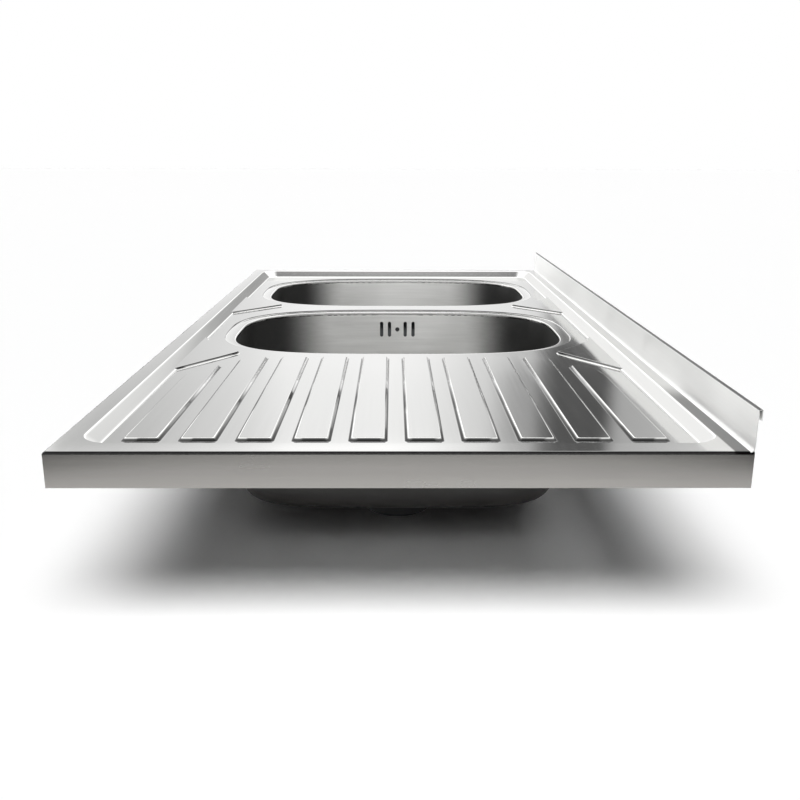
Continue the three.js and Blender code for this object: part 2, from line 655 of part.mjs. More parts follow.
function outletSeal() {
  const face = OUTLET_SEAL_FACE;
  return alongY(washer(OUTLET_BORE, OUTLET_RADIUS, face, face + OUTLET_SEAL_THICK));
}

// A coupling nut with grip lobes, and an inward lip that draws the pipe's seal on to the outlet.
function outletNut() {
  const points = Array.from({ length: 3 * NUT_LOBES }, (_, i) => {
    const radius = i % 3 < 2 ? NUT_LOBE_RADIUS : NUT_GROOVE_RADIUS;
    const angle = (2 * Math.PI * i) / (3 * NUT_LOBES);
    return new THREE.Vector2(radius * Math.cos(angle), radius * Math.sin(angle));
  });
  const end = OUTLET_SEAL_FACE + OUTLET_SEAL_THICK + GAP + NUT_LIP;
  const shell = extruded(new THREE.Shape(points), NUT_LENGTH).translate(0, 0, end - NUT_LENGTH);
  const socket = rod(OUTLET_RADIUS + 2 * GAP, end - NUT_LENGTH - 1, end - NUT_LIP, 20);
  const mouth = rod(OUTLET_BORE, end - NUT_LENGTH - 2, end + 1, 20);
  return alongY(cut(shell, socket, mouth));
}

// ---- strainer basket, which lifts out -----------------------------------------------------

const STOPPER_RADIUS = 25;
const STOPPER_BOTTOM = CUP_FLOOR + GAP;
const STOPPER_THICK = 3;
const STOPPER_HOLE = 10;
const BASKET_BOTTOM = STOPPER_BOTTOM + STOPPER_THICK + GAP;
const BASKET_TOP = -243.5;
const BASKET_FOOT = 31;
const BASKET_MOUTH = 38;
const BASKET_RIM = 41;
const BASKET_WALL = 1;
const BASKET_SLOTS = 8;
const BASKET_SLOT_WIDTH = 5;
const BASKET_SLOT_HEIGHT = 11;

const KNOB_FOOT = 6;
const KNOB_POST = 3;
const KNOB_HEAD = 8.5;

function stopper() {
  return washer(STOPPER_HOLE, STOPPER_RADIUS, STOPPER_BOTTOM, STOPPER_BOTTOM + STOPPER_THICK);
}

// A pressed steel cup with a flat rim and slots round its wall.
function basket() {
  const floor = BASKET_BOTTOM + BASKET_WALL;
  const underRim = BASKET_TOP - BASKET_WALL;
  const shell = turned([
    [0, BASKET_BOTTOM], [BASKET_FOOT, BASKET_BOTTOM], [BASKET_MOUTH, underRim],
    [BASKET_RIM, underRim], [BASKET_RIM, BASKET_TOP], [BASKET_MOUTH - BASKET_WALL, BASKET_TOP],
    [BASKET_FOOT - 0.8 * BASKET_WALL, floor], [0, floor],
  ]);
  const slotMiddle = (BASKET_BOTTOM + BASKET_TOP) / 2;
  const slots = Array.from({ length: BASKET_SLOTS }, (_, i) =>
    block(16, BASKET_SLOT_WIDTH, BASKET_SLOT_HEIGHT, 35, 0, slotMiddle)
      .rotateZ((i * 2 * Math.PI) / BASKET_SLOTS));
  return cut(shell, ...slots);
}

// The post and round head by which the basket is lifted.
function basketKnob() {
  const profile = [
    [0, 0], [KNOB_FOOT, 0], [KNOB_POST, 2], [KNOB_POST, 12], [KNOB_HEAD - 0.5, 14],
    [KNOB_HEAD, 16.5], [KNOB_HEAD - 1.5, 18], [0, 18.6],
  ];
  return turned(profile, 16).translate(0, 0, BASKET_BOTTOM + BASKET_WALL + GAP);
}

// ---- reinforcement and damping ------------------------------------------------------------

const STIFFENER_X = 390;
const STIFFENER_LENGTH = 430;
const STIFFENER_DEPTH = 17;
const STIFFENER_THICK = 1;
const STIFFENER_HALF = 32; // half widths over the flanges, at the webs and across the crown
const WEB_HALF = 17;
const CROWN_HALF = 15;

// A hat-section rail glued across the underside of the drainer.
function stiffener() {
  const thick = STIFFENER_THICK;
  const crown = -STIFFENER_DEPTH;
  const half = [
    [CROWN_HALF, crown], [WEB_HALF, -thick], [STIFFENER_HALF, -thick], [STIFFENER_HALF, 0],
    [WEB_HALF - thick, 0], [CROWN_HALF - thick, crown + thick],
  ];
  const outline = [...half, ...half.map(([x, z]) => [-x, z]).reverse()];
  const shape = new THREE.Shape(outline.map(([x, z]) => new THREE.Vector2(x, z)));
  return extruded(shape, STIFFENER_LENGTH)
    .translate(0, 0, -STIFFENER_LENGTH / 2)
    .rotateX(Math.PI / 2)
    .translate(STIFFENER_X, 0, deckLevel(STIFFENER_X - STIFFENER_HALF) - SHEET - GAP);
}

const PAD_LENGTH = 120;
const PAD_WIDTH = 84;
const PAD_THICK = 2.5;
const PAD_CORNER = 6;
const PAD_Y = 122;

function dampingPad(centre, side) {
  const under = BOWL_FLOOR - SHEET - GAP;
  return extruded(roundedRectangle(PAD_LENGTH, PAD_WIDTH, PAD_CORNER), PAD_THICK, 2)
    .translate(centre, side * PAD_Y, under - PAD_THICK);
}

// ---- assembly -----------------------------------------------------------------------------

const sink = new THREE.Group();
sink.name = "kitchen_sink_with_drainboard";

function add(parent, name, geometry, material) {
  const mesh = new THREE.Mesh(geometry, material);
  mesh.name = name;
  parent.add(mesh);
}

add(sink, "top_sheet", topSheet(), steel);

const wallCutters = [-2, -1, 1, 2].map((step) =>
  wallCutter(SLOT_WIDTH, SLOT_HEIGHT, step * SLOT_PITCH));
const screwHole = 2 * SCREW_RADIUS + 4 * GAP;
wallCutters.push(wallCutter(screwHole, screwHole, 0));
add(sink, "drainer_bowl", cut(bowl(BOWL_CENTRES[0]), ...wallCutters), satinSteel);
add(sink, "end_bowl", bowl(BOWL_CENTRES[1]), satinSteel);

const overflow = new THREE.Group();
add(overflow, "overflow_screw", overflowScrew(), polishedSteel);
add(overflow, "overflow_gasket", overflowGasket(), rubber);
add(overflow, "overflow_box", overflowBox(), greyPlastic);
add(overflow, "overflow_hose", ribbedHose(), whitePlastic);
const upperClip = hoseClip().translate(HOSE_X, 0, HOSE_TOP_Z - CLIP_FROM_END);
const lowerClip = hoseClip().rotateY(-Math.PI / 2).translate(HOSE_END_X - CLIP_FROM_END, 0, HOSE_LEVEL);
add(overflow, "hose_clip_top", upperClip, polishedSteel);
add(overflow, "hose_clip_bottom", lowerClip, polishedSteel);
sink.add(overflow);

BOWL_CENTRES.forEach((centre, index) => {
  const prefix = ["drainer", "end"][index];
  const waste = new THREE.Group();
  waste.position.x = centre;
  add(waste, prefix + "_flange_seal", flangeSeal(), rubber);
  add(waste, prefix + "_strainer_cup", strainerCup(), polishedSteel);
  add(waste, prefix + "_body_seal", bodySeal(), rubber);
  add(waste, prefix + "_waste_body", wasteBody(index === 0), greyPlastic);
  add(waste, prefix + "_clamp_screw", clampScrew(), polishedSteel);
  add(waste, prefix + "_outlet_seal", outletSeal(), rubber);
  add(waste, prefix + "_outlet_nut", outletNut(), greyPlastic);
  add(waste, prefix + "_stopper", stopper(), rubber);
  add(waste, prefix + "_basket", basket(), polishedSteel);
  add(waste, prefix + "_basket_knob", basketKnob(), greyPlastic);
  sink.add(waste);
  add(sink, prefix + "_pad_front", dampingPad(centre, -1), bitumen);
  add(sink, prefix + "_pad_rear", dampingPad(centre, 1), bitumen);
});

add(sink, "drainer_stiffener", stiffener(), satinSteel);

export default sink;
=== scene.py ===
"""Looks of the lay-on kitchen sink: satin pressed steel, brushed bowls, wastes and overflow."""

import math

import bmesh
import bpy
from mathutils import Matrix, Vector
from mathutils.geometry import tessellate_polygon


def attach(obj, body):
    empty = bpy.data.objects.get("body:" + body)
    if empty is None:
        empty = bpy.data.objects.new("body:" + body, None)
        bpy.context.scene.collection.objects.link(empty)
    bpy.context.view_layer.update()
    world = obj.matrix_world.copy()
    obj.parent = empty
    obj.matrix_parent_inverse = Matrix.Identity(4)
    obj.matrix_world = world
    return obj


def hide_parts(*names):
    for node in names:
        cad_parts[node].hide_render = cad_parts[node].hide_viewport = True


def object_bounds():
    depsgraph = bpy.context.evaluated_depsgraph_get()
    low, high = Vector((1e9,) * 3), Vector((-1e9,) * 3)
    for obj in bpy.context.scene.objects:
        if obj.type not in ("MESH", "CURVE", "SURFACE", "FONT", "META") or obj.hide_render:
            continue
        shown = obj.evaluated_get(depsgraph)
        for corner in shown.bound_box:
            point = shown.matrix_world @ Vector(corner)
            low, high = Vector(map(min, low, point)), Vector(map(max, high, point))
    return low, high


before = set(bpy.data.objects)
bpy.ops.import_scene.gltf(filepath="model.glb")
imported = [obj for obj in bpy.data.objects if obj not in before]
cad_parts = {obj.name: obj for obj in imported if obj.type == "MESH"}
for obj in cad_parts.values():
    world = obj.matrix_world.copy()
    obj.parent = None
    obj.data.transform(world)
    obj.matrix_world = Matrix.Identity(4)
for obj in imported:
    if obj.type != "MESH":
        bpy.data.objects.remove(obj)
CAD_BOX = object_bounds()

# All lengths below are millimetres; a mesh is scaled to metres when it is made.
MM = 0.001
BODY = "sink"

# ---- sizes, as the frame holds them ---------------------------------------------------------

SHEET = 0.8
GAP = 0.3
END_X = 600.0
FRONT_Y = -300.0
FACE_Y = 296.0  # the upstand's front face
BACK_Y = 300.0
RIM_TOP = SHEET
APRON_BOTTOM = -31.5
UPSTAND_TOP = 38.0
HEM_BOTTOM = 28.0
APRON_BEND = 2.6
UPSTAND_BEND = 3.0

RIM_DRAINER_END = 24.0
RIM_BOWL_END = 19.0
RIM_SIDE = 19.0
SLOPE_SIDE = 15.5
SLOPE_BOWL_END = 20.0
SLOPE_DRAINER_END = 8.0
RECESS_RADIUS = 28.0
DECK_RADIUS = 17.0
DECK_DROP_DRAINER = 7.5
DECK_DROP_BOWLS = 10.0
SLOPE_SOFT = 0.08  # share of a slope's run that is eased at each end
RIB_SOFT = 0.28

RIB_COUNT = 10
RIB_PITCH = 50.9
RIB_CENTRE_Y = -4.0
RIB_WIDTH = 36.0
RIB_FLANK = 4.2
RIB_HEIGHT = 3.0
RIB_CORNER = 3.5
RIB_START = 52.0
RIB_END = 398.0
OUTER_RIB_END = 350.0
SLANT = 10.0  # how much sooner the ribs next to the outer ones end on their outer side
OUTER_RIB_CURVE = (72.0, 26.0)  # how far an outer rib's curved corner goes along its side and end

BOWL_CENTRES = {"drainer": 9.0, "end": -369.0}
BOWL_HALF_X = 157.0
BOWL_HALF_Y = 234.0
RING_X = 14.0
RING_Y = 15.0
RING_EXPONENT = 3.0
BOWL_EXPONENT = 3.3
BOWL_EXPONENT_LOW = 4.6
STEP_SHARE = 0.14  # of the ring's width, taken by the step down from the deck
STEP_SOFT = 0.35
LEDGE_DROP = 1.8
LEDGE_FALL = 0.4
LIP_INSET = 2.0
LIP_DROP = 4.0
LIP_TURN = 86.0  # degrees from level to the bowl's wall
BOWL_FLOOR = -241.0
BOWL_TAPER = 4.0
BOWL_CORNER = 32.0
WASTE_HOLE = 45.0
WASTE_RECESS = 61.5
WASTE_RECESS_DROP = 3.0


# ---- a skin of faces whose corners carry their own normals ------------------------------------


class Skin:
    """Faces over shared points; each face corner keeps the normal of the surface it belongs to."""

    def __init__(self):
        self.points = []
        self.index = {}
        self.faces = []
        self.normals = []
        self.finish = 0  # material index of the faces added from now on
        self.finishes = []
        self.painted_light = {}  # by point: 1 painted highlight, -1 painted shade

    def point(self, place):
        key = tuple(round(value, 4) for value in place)
        if key not in self.index:
            self.index[key] = len(self.points)
            self.points.append(Vector(place))
        return self.index[key]

    def paint_light_on(self, rings, levels):
        """Sets the painted light of each ring's points: a painted highlight above 0, painted shade below."""
        for ring, level in zip(rings, levels):
            for place, _ in ring:
                self.painted_light[self.point(place)] = level

    def face(self, corners):
        """corners: (place, normal) pairs, anticlockwise seen from outside."""
        indices = [self.point(place) for place, _ in corners]
        kept = [i for i, index in enumerate(indices) if index != indices[i - 1]]
        if len({indices[i] for i in kept}) < 3:
            return
        self.faces.append([indices[i] for i in kept])
        self.finishes.append(self.finish)
        self.normals.extend(Vector(corners[i][1]).normalized() for i in kept)

    def band(self, first, second, closed=True):
        """Quads between two rings of (place, normal) with as many points."""
        count = len(first)
        for i in range(count if closed else count - 1):
            j = (i + 1) % count
            self.face([first[i], first[j], second[j], second[i]])

    def flat(self, outline, holes=()):
        """A flat filled by triangles between an outline and holes."""
        loops = [outline, *holes]
        corners = [corner for loop in loops for corner in loop]
        flat_loops = [[Vector((p[0], p[1], 0)) for p, _ in loop] for loop in loops]
        for triangle in tessellate_polygon(flat_loops):
            a, b, c = (corners[i] for i in triangle)
            (ax, ay, _), (bx, by, _), (cx, cy, _) = a[0], b[0], c[0]
            is_anticlockwise = (bx - ax) * (cy - ay) > (by - ay) * (cx - ax)
            self.face([a, b, c] if is_anticlockwise else [a, c, b])

    def thicken(self, thickness):
        """Adds the lower skin of a pressed sheet: the same faces, lower and facing down."""
        lower = Vector((0, 0, -thickness))
        loop = 0
        for face in list(self.faces):
            normals = self.normals[loop:loop + len(face)]
            loop += len(face)
            corners = [(self.points[i] + lower, -n) for i, n in zip(face, normals)]
            self.face(corners[::-1])

    def build(self, name):
        mesh = bpy.data.meshes.new(name)
        mesh.from_pydata([p * MM for p in self.points], [], self.faces)
        mesh.polygons.foreach_set("material_index", self.finishes)
        # Painted highlights and painted shade, by point, which the steel's colour reads.
        painted_light = mesh.attributes.new("painted_light", "FLOAT", "POINT")
        painted_light.data.foreach_set("value", [self.painted_light.get(i, 0.0) for i in range(len(self.points))])
        mesh.validate()
        mesh.normals_split_custom_set([tuple(n) for n in self.normals])
        return add_object(name, mesh)


def add_object(name, mesh):
    piece = bpy.data.objects.new(name, mesh)
    bpy.context.scene.collection.objects.link(piece)
    return piece


def ramp(t, soft):
    """Height and slope at t of a 0..1 ramp, straight in the middle and eased at both ends."""
    steep = 1 / (1 - soft)
    if t < soft:
        return steep * t * t / (2 * soft), steep * t / soft
    if t > 1 - soft:
        return 1 - steep * (1 - t) ** 2 / (2 * soft), steep * (1 - t) / soft
    return steep * (t - soft / 2), steep


# ---- outlines: lists of ((x, y), (inward x, inward y)), anticlockwise ---------------------------


def rounded_polygon(corners, radius, steps=8):
    outline = []
    for i, corner in enumerate(corners):
        here = Vector(corner)
        before = (here - Vector(corners[i - 1])).normalized()
        after = (Vector(corners[(i + 1) % len(corners)]) - here).normalized()
        bend = -before.angle_signed(after)
        inward = Vector((-before.y, before.x))
        centre = here - before * radius * math.tan(bend / 2) + inward * radius
        for step in range(steps + 1):
            direction = inward.copy()
            direction.rotate(Matrix.Rotation(bend * step / steps, 2))
            outline.append((centre - direction * radius, direction))
    return outline


def sampled_outline(places):
    """An outline through close points, with normals from its neighbours."""
    outline = []
    for i, place in enumerate(places):
        along = (places[(i + 1) % len(places)] - places[i - 1]).normalized()
        outline.append((place, Vector((-along.y, along.x))))
    return outline


def oval(centre_x, half_x, half_y, exponent, count=144):
    """Between an ellipse and a rectangle."""
    places = []
    for i in range(count):
        angle = 2 * math.pi * (i + 0.5) / count
        cosine, sine = math.cos(angle), math.sin(angle)
        x = half_x * math.copysign(abs(cosine) ** (2 / exponent), cosine)
        y = half_y * math.copysign(abs(sine) ** (2 / exponent), sine)
        places.append(Vector((centre_x + x, y)))
    return places


# ---- the pressed top sheet --------------------------------------------------------------------


def deck_level(x):
    fall_start = END_X - RIM_DRAINER_END
    fall_end = END_X - RIB_END
    along = min(max((fall_start - x) / (fall_start - fall_end), 0), 1)
    return -(DECK_DROP_DRAINER + (DECK_DROP_BOWLS - DECK_DROP_DRAINER) * along)


def recess_corners(in_side, in_drainer_end, in_bowl_end):
    right = END_X - RIM_DRAINER_END - in_drainer_end
    left = -END_X + RIM_BOWL_END + in_bowl_end
    side = BACK_Y - RIM_SIDE - in_side
    return [(right, -side), (right, side), (left, side), (left, -side)]


def offset_polygon(corners, distances):
    """An anticlockwise polygon whose sides are moved inwards, each by its own distance."""
    count = len(corners)
    sides = []
    for i, corner in enumerate(corners):
        start = Vector(corner)
        along = (Vector(corners[(i + 1) % count]) - start).normalized()
        sides.append((start + Vector((-along.y, along.x)) * distances[i], along))
    moved_corners = []
    for i, (start, along) in enumerate(sides):
        before, before_along = sides[i - 1]
        reach = (start - before).cross(along) / before_along.cross(along)
        moved_corners.append(before + before_along * reach)
    return moved_corners


def curve(start, control, end, low, high, steps):
    """Points of a quadratic curve between two shares of its length."""
    points = []
    for i in range(steps + 1):
        t = low + (high - low) * i / steps
        points.append(start * (1 - t) ** 2 + control * (2 * t * (1 - t)) + end * (t * t))
    return points


def curved_polygon(corners, reaches, steps=6):
    """A polygon with curved corners; reaches gives how far each curve goes before and after."""
    places = []
    for i, corner in enumerate(corners):
        here = Vector(corner)
        before = (Vector(corners[i - 1]) - here).normalized() * reaches[i][0]
        after = (Vector(corners[(i + 1) % len(corners)]) - here).normalized() * reaches[i][1]
        places += curve(here + before, here, here + after, 0, 1, steps)
    return places


def rib_outlines(index):
    """A rib's outline at its foot and on top. The outer ribs end in a wide curve beside the wings."""
    y = RIB_CENTRE_Y + (index - (RIB_COUNT - 1) / 2) * RIB_PITCH
    near = END_X - RIB_START
    place = min(index, RIB_COUNT - 1 - index)
    far = END_X - (OUTER_RIB_END if place == 0 else RIB_END)
    far_outer = far + (SLANT if place == 1 else 0)
    low, high = (far_outer, far) if y < 0 else (far, far_outer)
    half = RIB_WIDTH / 2
    corners = [(near, y - half), (near, y + half), (high, y + half), (low, y - half)]
    outlines = []
    for step_in, corner in ((0, RIB_CORNER), (RIB_FLANK, RIB_CORNER - 1.5)):
        reaches = [(corner, corner)] * 4
        if place == 0:
            wide = tuple(reach - step_in for reach in OUTER_RIB_CURVE)
            reaches[2 if y > 0 else 3] = wide if y > 0 else wide[::-1]
        outlines.append(curved_polygon(offset_polygon(corners, [step_in] * 4), reaches, 12))
    return outlines


def ring_between(first, second, t, soft, low, high):
    """A ring of (place, normal) at t of the slope between two rings of places; heights depend on x."""
    height, slope = ramp(t, soft)
    ring = []
    for a, b in zip(first, second):
        across = b - a
        place = a + across * t
        start, end = low(place.x), high(place.x)
        z = start + (end - start) * height
        run = across.length or 1.0
        grade = (end - start) * slope / run
        inward = across.normalized()
        fall = (low(place.x + 1) - start) * (1 - height) + (high(place.x + 1) - end) * height
        ring.append(((place.x, place.y, z), (-inward.x * grade - fall, -inward.y * grade, 1.0)))
    return ring


def slope_rings(first, second, low, high, soft, steps):
    return [ring_between(first, second, i / steps, soft, low, high) for i in range(steps + 1)]


def add_bands(skin, rings):
    for outer, inner in zip(rings, rings[1:]):
        skin.band(outer, inner)


def inset(outline, distance):
    return [(place + inward * distance, inward) for place, inward in outline]


def places_of(outline):
    return [place for place, _ in outline]


def rim_level(_x):
    return RIM_TOP


def raised_level(x):
    return deck_level(x) + RIB_HEIGHT


# The raised wings beside each bowl, at the foot: X on the slope's side near the drainer and at the
# far end, the tip, and where the far side turns out towards the slope.
WINGS = [
    {"near": 270, "far": 80, "bend": (111, 261), "tip": (171.4, 202.4)},
    {"near": -122, "far": -278, "bend": (-250, 260), "tip": (-200, 190)},
]
DECK_EDGE_Y = BACK_Y - RIM_SIDE - SLOPE_SIDE
WING_REACH = 4.9  # how far past the deck's edge a wing's top runs into the slope
WING_TIP_BASE = 10.0  # how far from the tip its rounding starts, at the foot and on top
WING_TIP_TOP = 5.0
WING_STEPS = 40


def wing_outlines(wing, side):
    """A wing's outline at its foot and on top, where it runs into the slope."""
    edge = DECK_EDGE_Y - GAP
    corners = ((wing["near"], edge), (wing["far"], edge), wing["bend"], wing["tip"])
    base = [Vector(corner) for corner in corners]
    top = offset_polygon(base, [-WING_REACH, RIB_FLANK, RIB_FLANK, RIB_FLANK])
    outlines = []
    for (near, far, bend, tip), tip_reach in ((base, WING_TIP_BASE), (top, WING_TIP_TOP)):
        far_side = curve(far, bend, tip, 0, 1 - tip_reach / (tip - far).length, WING_STEPS)
        near_side = curve(tip, (tip + near) / 2, near, tip_reach / (near - tip).length, 1, WING_STEPS)
        places = curve(near, (near + far) / 2, far, 0, 1, WING_STEPS)[1:]
        places += far_side + curve(far_side[-1], tip, near_side[0], 0, 1, 10)[1:] + near_side[1:]
        if side < 0:
            places = [Vector((p.x, -p.y)) for p in reversed(places)]
        outlines.append(places)
    return outlines


def mouth_rings(centre):
    """Rings from the deck over the step and ledge and round the lip into a bowl."""
    # Share of the ring's width, height below the deck, slope dz/dinset, and inset past the ledge.
    stations = []
    for i in range(7):
        height, slope = ramp(i / 6, STEP_SOFT)
        slope *= LEDGE_DROP / (STEP_SHARE * RING_Y)
        stations.append((STEP_SHARE * i / 6, -LEDGE_DROP * height, -slope, 0))
    stations.append((0.97, -LEDGE_DROP - 0.3, -0.04, 0))
    for i in range(9):
        lean = math.radians(LIP_TURN) * i / 8
        drop = LEDGE_DROP + LEDGE_FALL + LIP_INSET * (1 - math.cos(lean))
        stations.append((1.0, -drop, -math.tan(lean), LIP_INSET * math.sin(lean)))
    stations.append((1.0, -LEDGE_DROP - LIP_DROP, -math.tan(math.radians(LIP_TURN + 1)), LIP_INSET))
    rings = []
    for share, drop, slope, past in stations:
        left = 1 - share
        half_x = BOWL_HALF_X + RING_X * left - past
        half_y = BOWL_HALF_Y + RING_Y * left - past
        exponent = BOWL_EXPONENT + (RING_EXPONENT - BOWL_EXPONENT) * left
        outline = sampled_outline(oval(centre, half_x, half_y, exponent))
        z = -DECK_DROP_BOWLS + drop
        rings.append([((p.x, p.y, z), (-n.x * slope, -n.y * slope, 1.0)) for p, n in outline])
    return rings


def arc(centre, radius, start, end, steps):
    """Points on an arc as ((a, b), outward normal), angles in degrees."""
    points = []
    for i in range(steps + 1):
        angle = math.radians(start + (end - start) * i / steps)
        normal = Vector((math.cos(angle), math.sin(angle)))
        points.append((Vector(centre) + normal * radius, normal))
    return points


def apron_profile():
    """(outward, z) points and normals down the outer face, and the matching inner ones."""
    outer = arc((-APRON_BEND, RIM_TOP - APRON_BEND), APRON_BEND, 90, 0, 7)
    outer.append((Vector((0, APRON_BOTTOM)), Vector((1, 0))))
    inner = [(p - n * SHEET, -n) for p, n in outer]
    return outer, inner


# Painted light over the rolled edge, from the rim down to the apron: a painted highlight at the top and a
# dark line of painted shade below it.
BEND_PAINTED_LIGHT = (0.2, -0.35, -0.85, -1.05, -1.15, -1.12, -0.95, -0.2)


def cap_end(skin, outer, inner, normal, is_flipped):
    """Closes the open end of a folded strip, between its outer and its inner points."""
    for i in range(len(outer) - 1):
        corners = [outer[i], outer[i + 1], inner[i + 1], inner[i]]
        if is_flipped:
            corners.reverse()
        skin.face([(corner, normal) for corner in corners])


def add_apron(skin):
    outer, inner = apron_profile()
    bend, flat = outer[:-1], outer[-2:]
    bottom = [(outer[-1][0], Vector((0, -1))), (inner[-1][0], Vector((0, -1)))]
    back = FACE_Y + SHEET
    bend_y = FACE_Y - UPSTAND_BEND
    # Each side: outward direction, start, end, and whether each of them is mitred to the next side.
    sides = [
        (Vector((1, 0)), Vector((END_X, back)), Vector((END_X, FRONT_Y)), (0, 1)),
        (Vector((0, -1)), Vector((END_X, FRONT_Y)), Vector((-END_X, FRONT_Y)), (1, 1)),
        (Vector((-1, 0)), Vector((-END_X, FRONT_Y)), Vector((-END_X, back)), (1, 0)),
    ]
    for outward, start, end, (start_mitred, end_mitred) in sides:
        along = (end - start).normalized()

        def section(corner, lean=0):
            def place(point):
                there = corner + (outward + along * lean) * point.x
                return (there.x, there.y, point.y)
            return place

        def row(profile, place):
            return [(place(p), (outward.x * n.x, outward.y * n.x, n.y)) for p, n in profile]

        places = [section(start, -start_mitred), section(end, end_mitred)]
        if not start_mitred:
            places.insert(1, section(Vector((start.x, bend_y))))
        if not end_mitred:
            places.insert(-1, section(Vector((end.x, bend_y))))
        for place in places:
            skin.paint_light_on([[corner] for corner in row(bend, place)], BEND_PAINTED_LIGHT)
        for first, second in zip(places, places[1:]):
            skin.finish = 0
            skin.band(row(bend, second), row(bend, first), closed=False)
            skin.finish = 1
            skin.band(row(flat, second), row(flat, first), closed=False)
            skin.band(row(inner, first), row(inner, second), closed=False)
            skin.band(row(bottom, second), row(bottom, first), closed=False)
        for place, facing, is_mitred in ((places[0], -1, start_mitred), (places[-1], 1, end_mitred)):
            if not is_mitred:
                ends = [[place(p) for p, _ in profile] for profile in (outer, inner)]
                cap_end(skin, *ends, (along.x * facing, along.y * facing, 0), facing > 0)


FOLD_SHADE_FACING = 0.45  # upward share of the normal where a dark line of painted shade lies over the fold


def add_upstand(skin):
    """The wall side: bend up, flat face, and the top folded back into an open hem."""
    hem_radius = (BACK_Y - FACE_Y) / 2
    foot = arc((FACE_Y - UPSTAND_BEND, RIM_TOP + UPSTAND_BEND), UPSTAND_BEND, -90, 0, 6)
    front = [(p, -n) for p, n in foot]
    front += arc((FACE_Y + hem_radius, UPSTAND_TOP - hem_radius), hem_radius, 180, 0, 10)
    front.append((Vector((BACK_Y, HEM_BOTTOM)), Vector((1, 0))))
    hidden = [(p - n * SHEET, -n) for p, n in front]
    edge = [(front[-1][0], Vector((0, -1))), (hidden[-1][0], Vector((0, -1)))]
    # A dark line of painted shade over the top of the hem's fold.
    hem_painted_light = []
    for point, normal in front:
        is_fold = normal.y > FOLD_SHADE_FACING and point.y > HEM_BOTTOM
        hem_painted_light.append(-1.0 if is_fold else 0.0)
    stations = [-END_X, -END_X + APRON_BEND, END_X - APRON_BEND, END_X]

    def row(profile, x):
        return [((x, p.x, p.y), (0, n.x, n.y)) for p, n in profile]

    for x in stations:
        skin.paint_light_on([[corner] for corner in row(front, x)], hem_painted_light)
    for first, second in zip(stations, stations[1:]):
        skin.band(row(front, second), row(front, first), closed=False)
        skin.band(row(hidden, first), row(hidden, second), closed=False)
        skin.band(row(edge, second), row(edge, first), closed=False)
    for x, facing in ((-END_X, -1), (END_X, 1)):
        ends = [[(x, p.x, p.y) for p, _ in profile] for profile in (front, hidden)]
        cap_end(skin, *ends, (facing, 0, 0), facing > 0)


# Painted light from the foot of a raised pad to its top: painted shade in the foot's crease, a painted
# highlight on the shoulder.
RIB_PAINTED_LIGHT = (0, -0.7, -1, -1, -0.9, -0.4, 0, 0.4, 0.7, 0.6, 0)
# On a rib's flank towards the wall the painted shade lies in two lines, and at its near end it lies deeper.
RIB_WALL_PAINTED_LIGHT = (0, -0.9, -1, -0.5, 0.8, 1, 0.7, -0.3, -1, -0.8, 0)
RIB_NEAR_PAINTED_LIGHT = (0, -0.8, -1, -1, -1, -1, -0.8, 0, 0.7, 0.6, 0)
RIB_FACING = 0.4
# A wing's shoulder takes painted shade instead, and its foot a painted highlight.
WING_PAINTED_LIGHT = (0, 0.6, 0.7, 0.5, -0.4, -0.9, -1, -1, -0.9, 0, 0)
# Painted light over the recess's slope, from the rim down, and from the deck over the ledge to a bowl's lip:
# painted highlights at the slope's ends, painted shade on the step and painted highlights on the ledge and
# lip.
SLOPE_PAINTED_LIGHT = (0, 0.55, 0.3, *[0] * 11, 0.3, 0.6, 0)
MOUTH_PAINTED_LIGHT = (0, -0.2, -0.8, -0.5, 0, 0.5, 0.5, 0, *[0.5] * 5, *[0] * 5)


def paint_rib_light(skin, rings):
    for k, (_, normal) in enumerate(rings[len(rings) // 2]):
        levels = RIB_PAINTED_LIGHT
        if normal[0] > RIB_FACING:
            levels = RIB_NEAR_PAINTED_LIGHT
        elif normal[1] > RIB_FACING:
            levels = RIB_WALL_PAINTED_LIGHT
        skin.paint_light_on([[ring[k]] for ring in rings], levels)


def paint_wing_light(skin, rings):
    skin.paint_light_on(rings, WING_PAINTED_LIGHT)


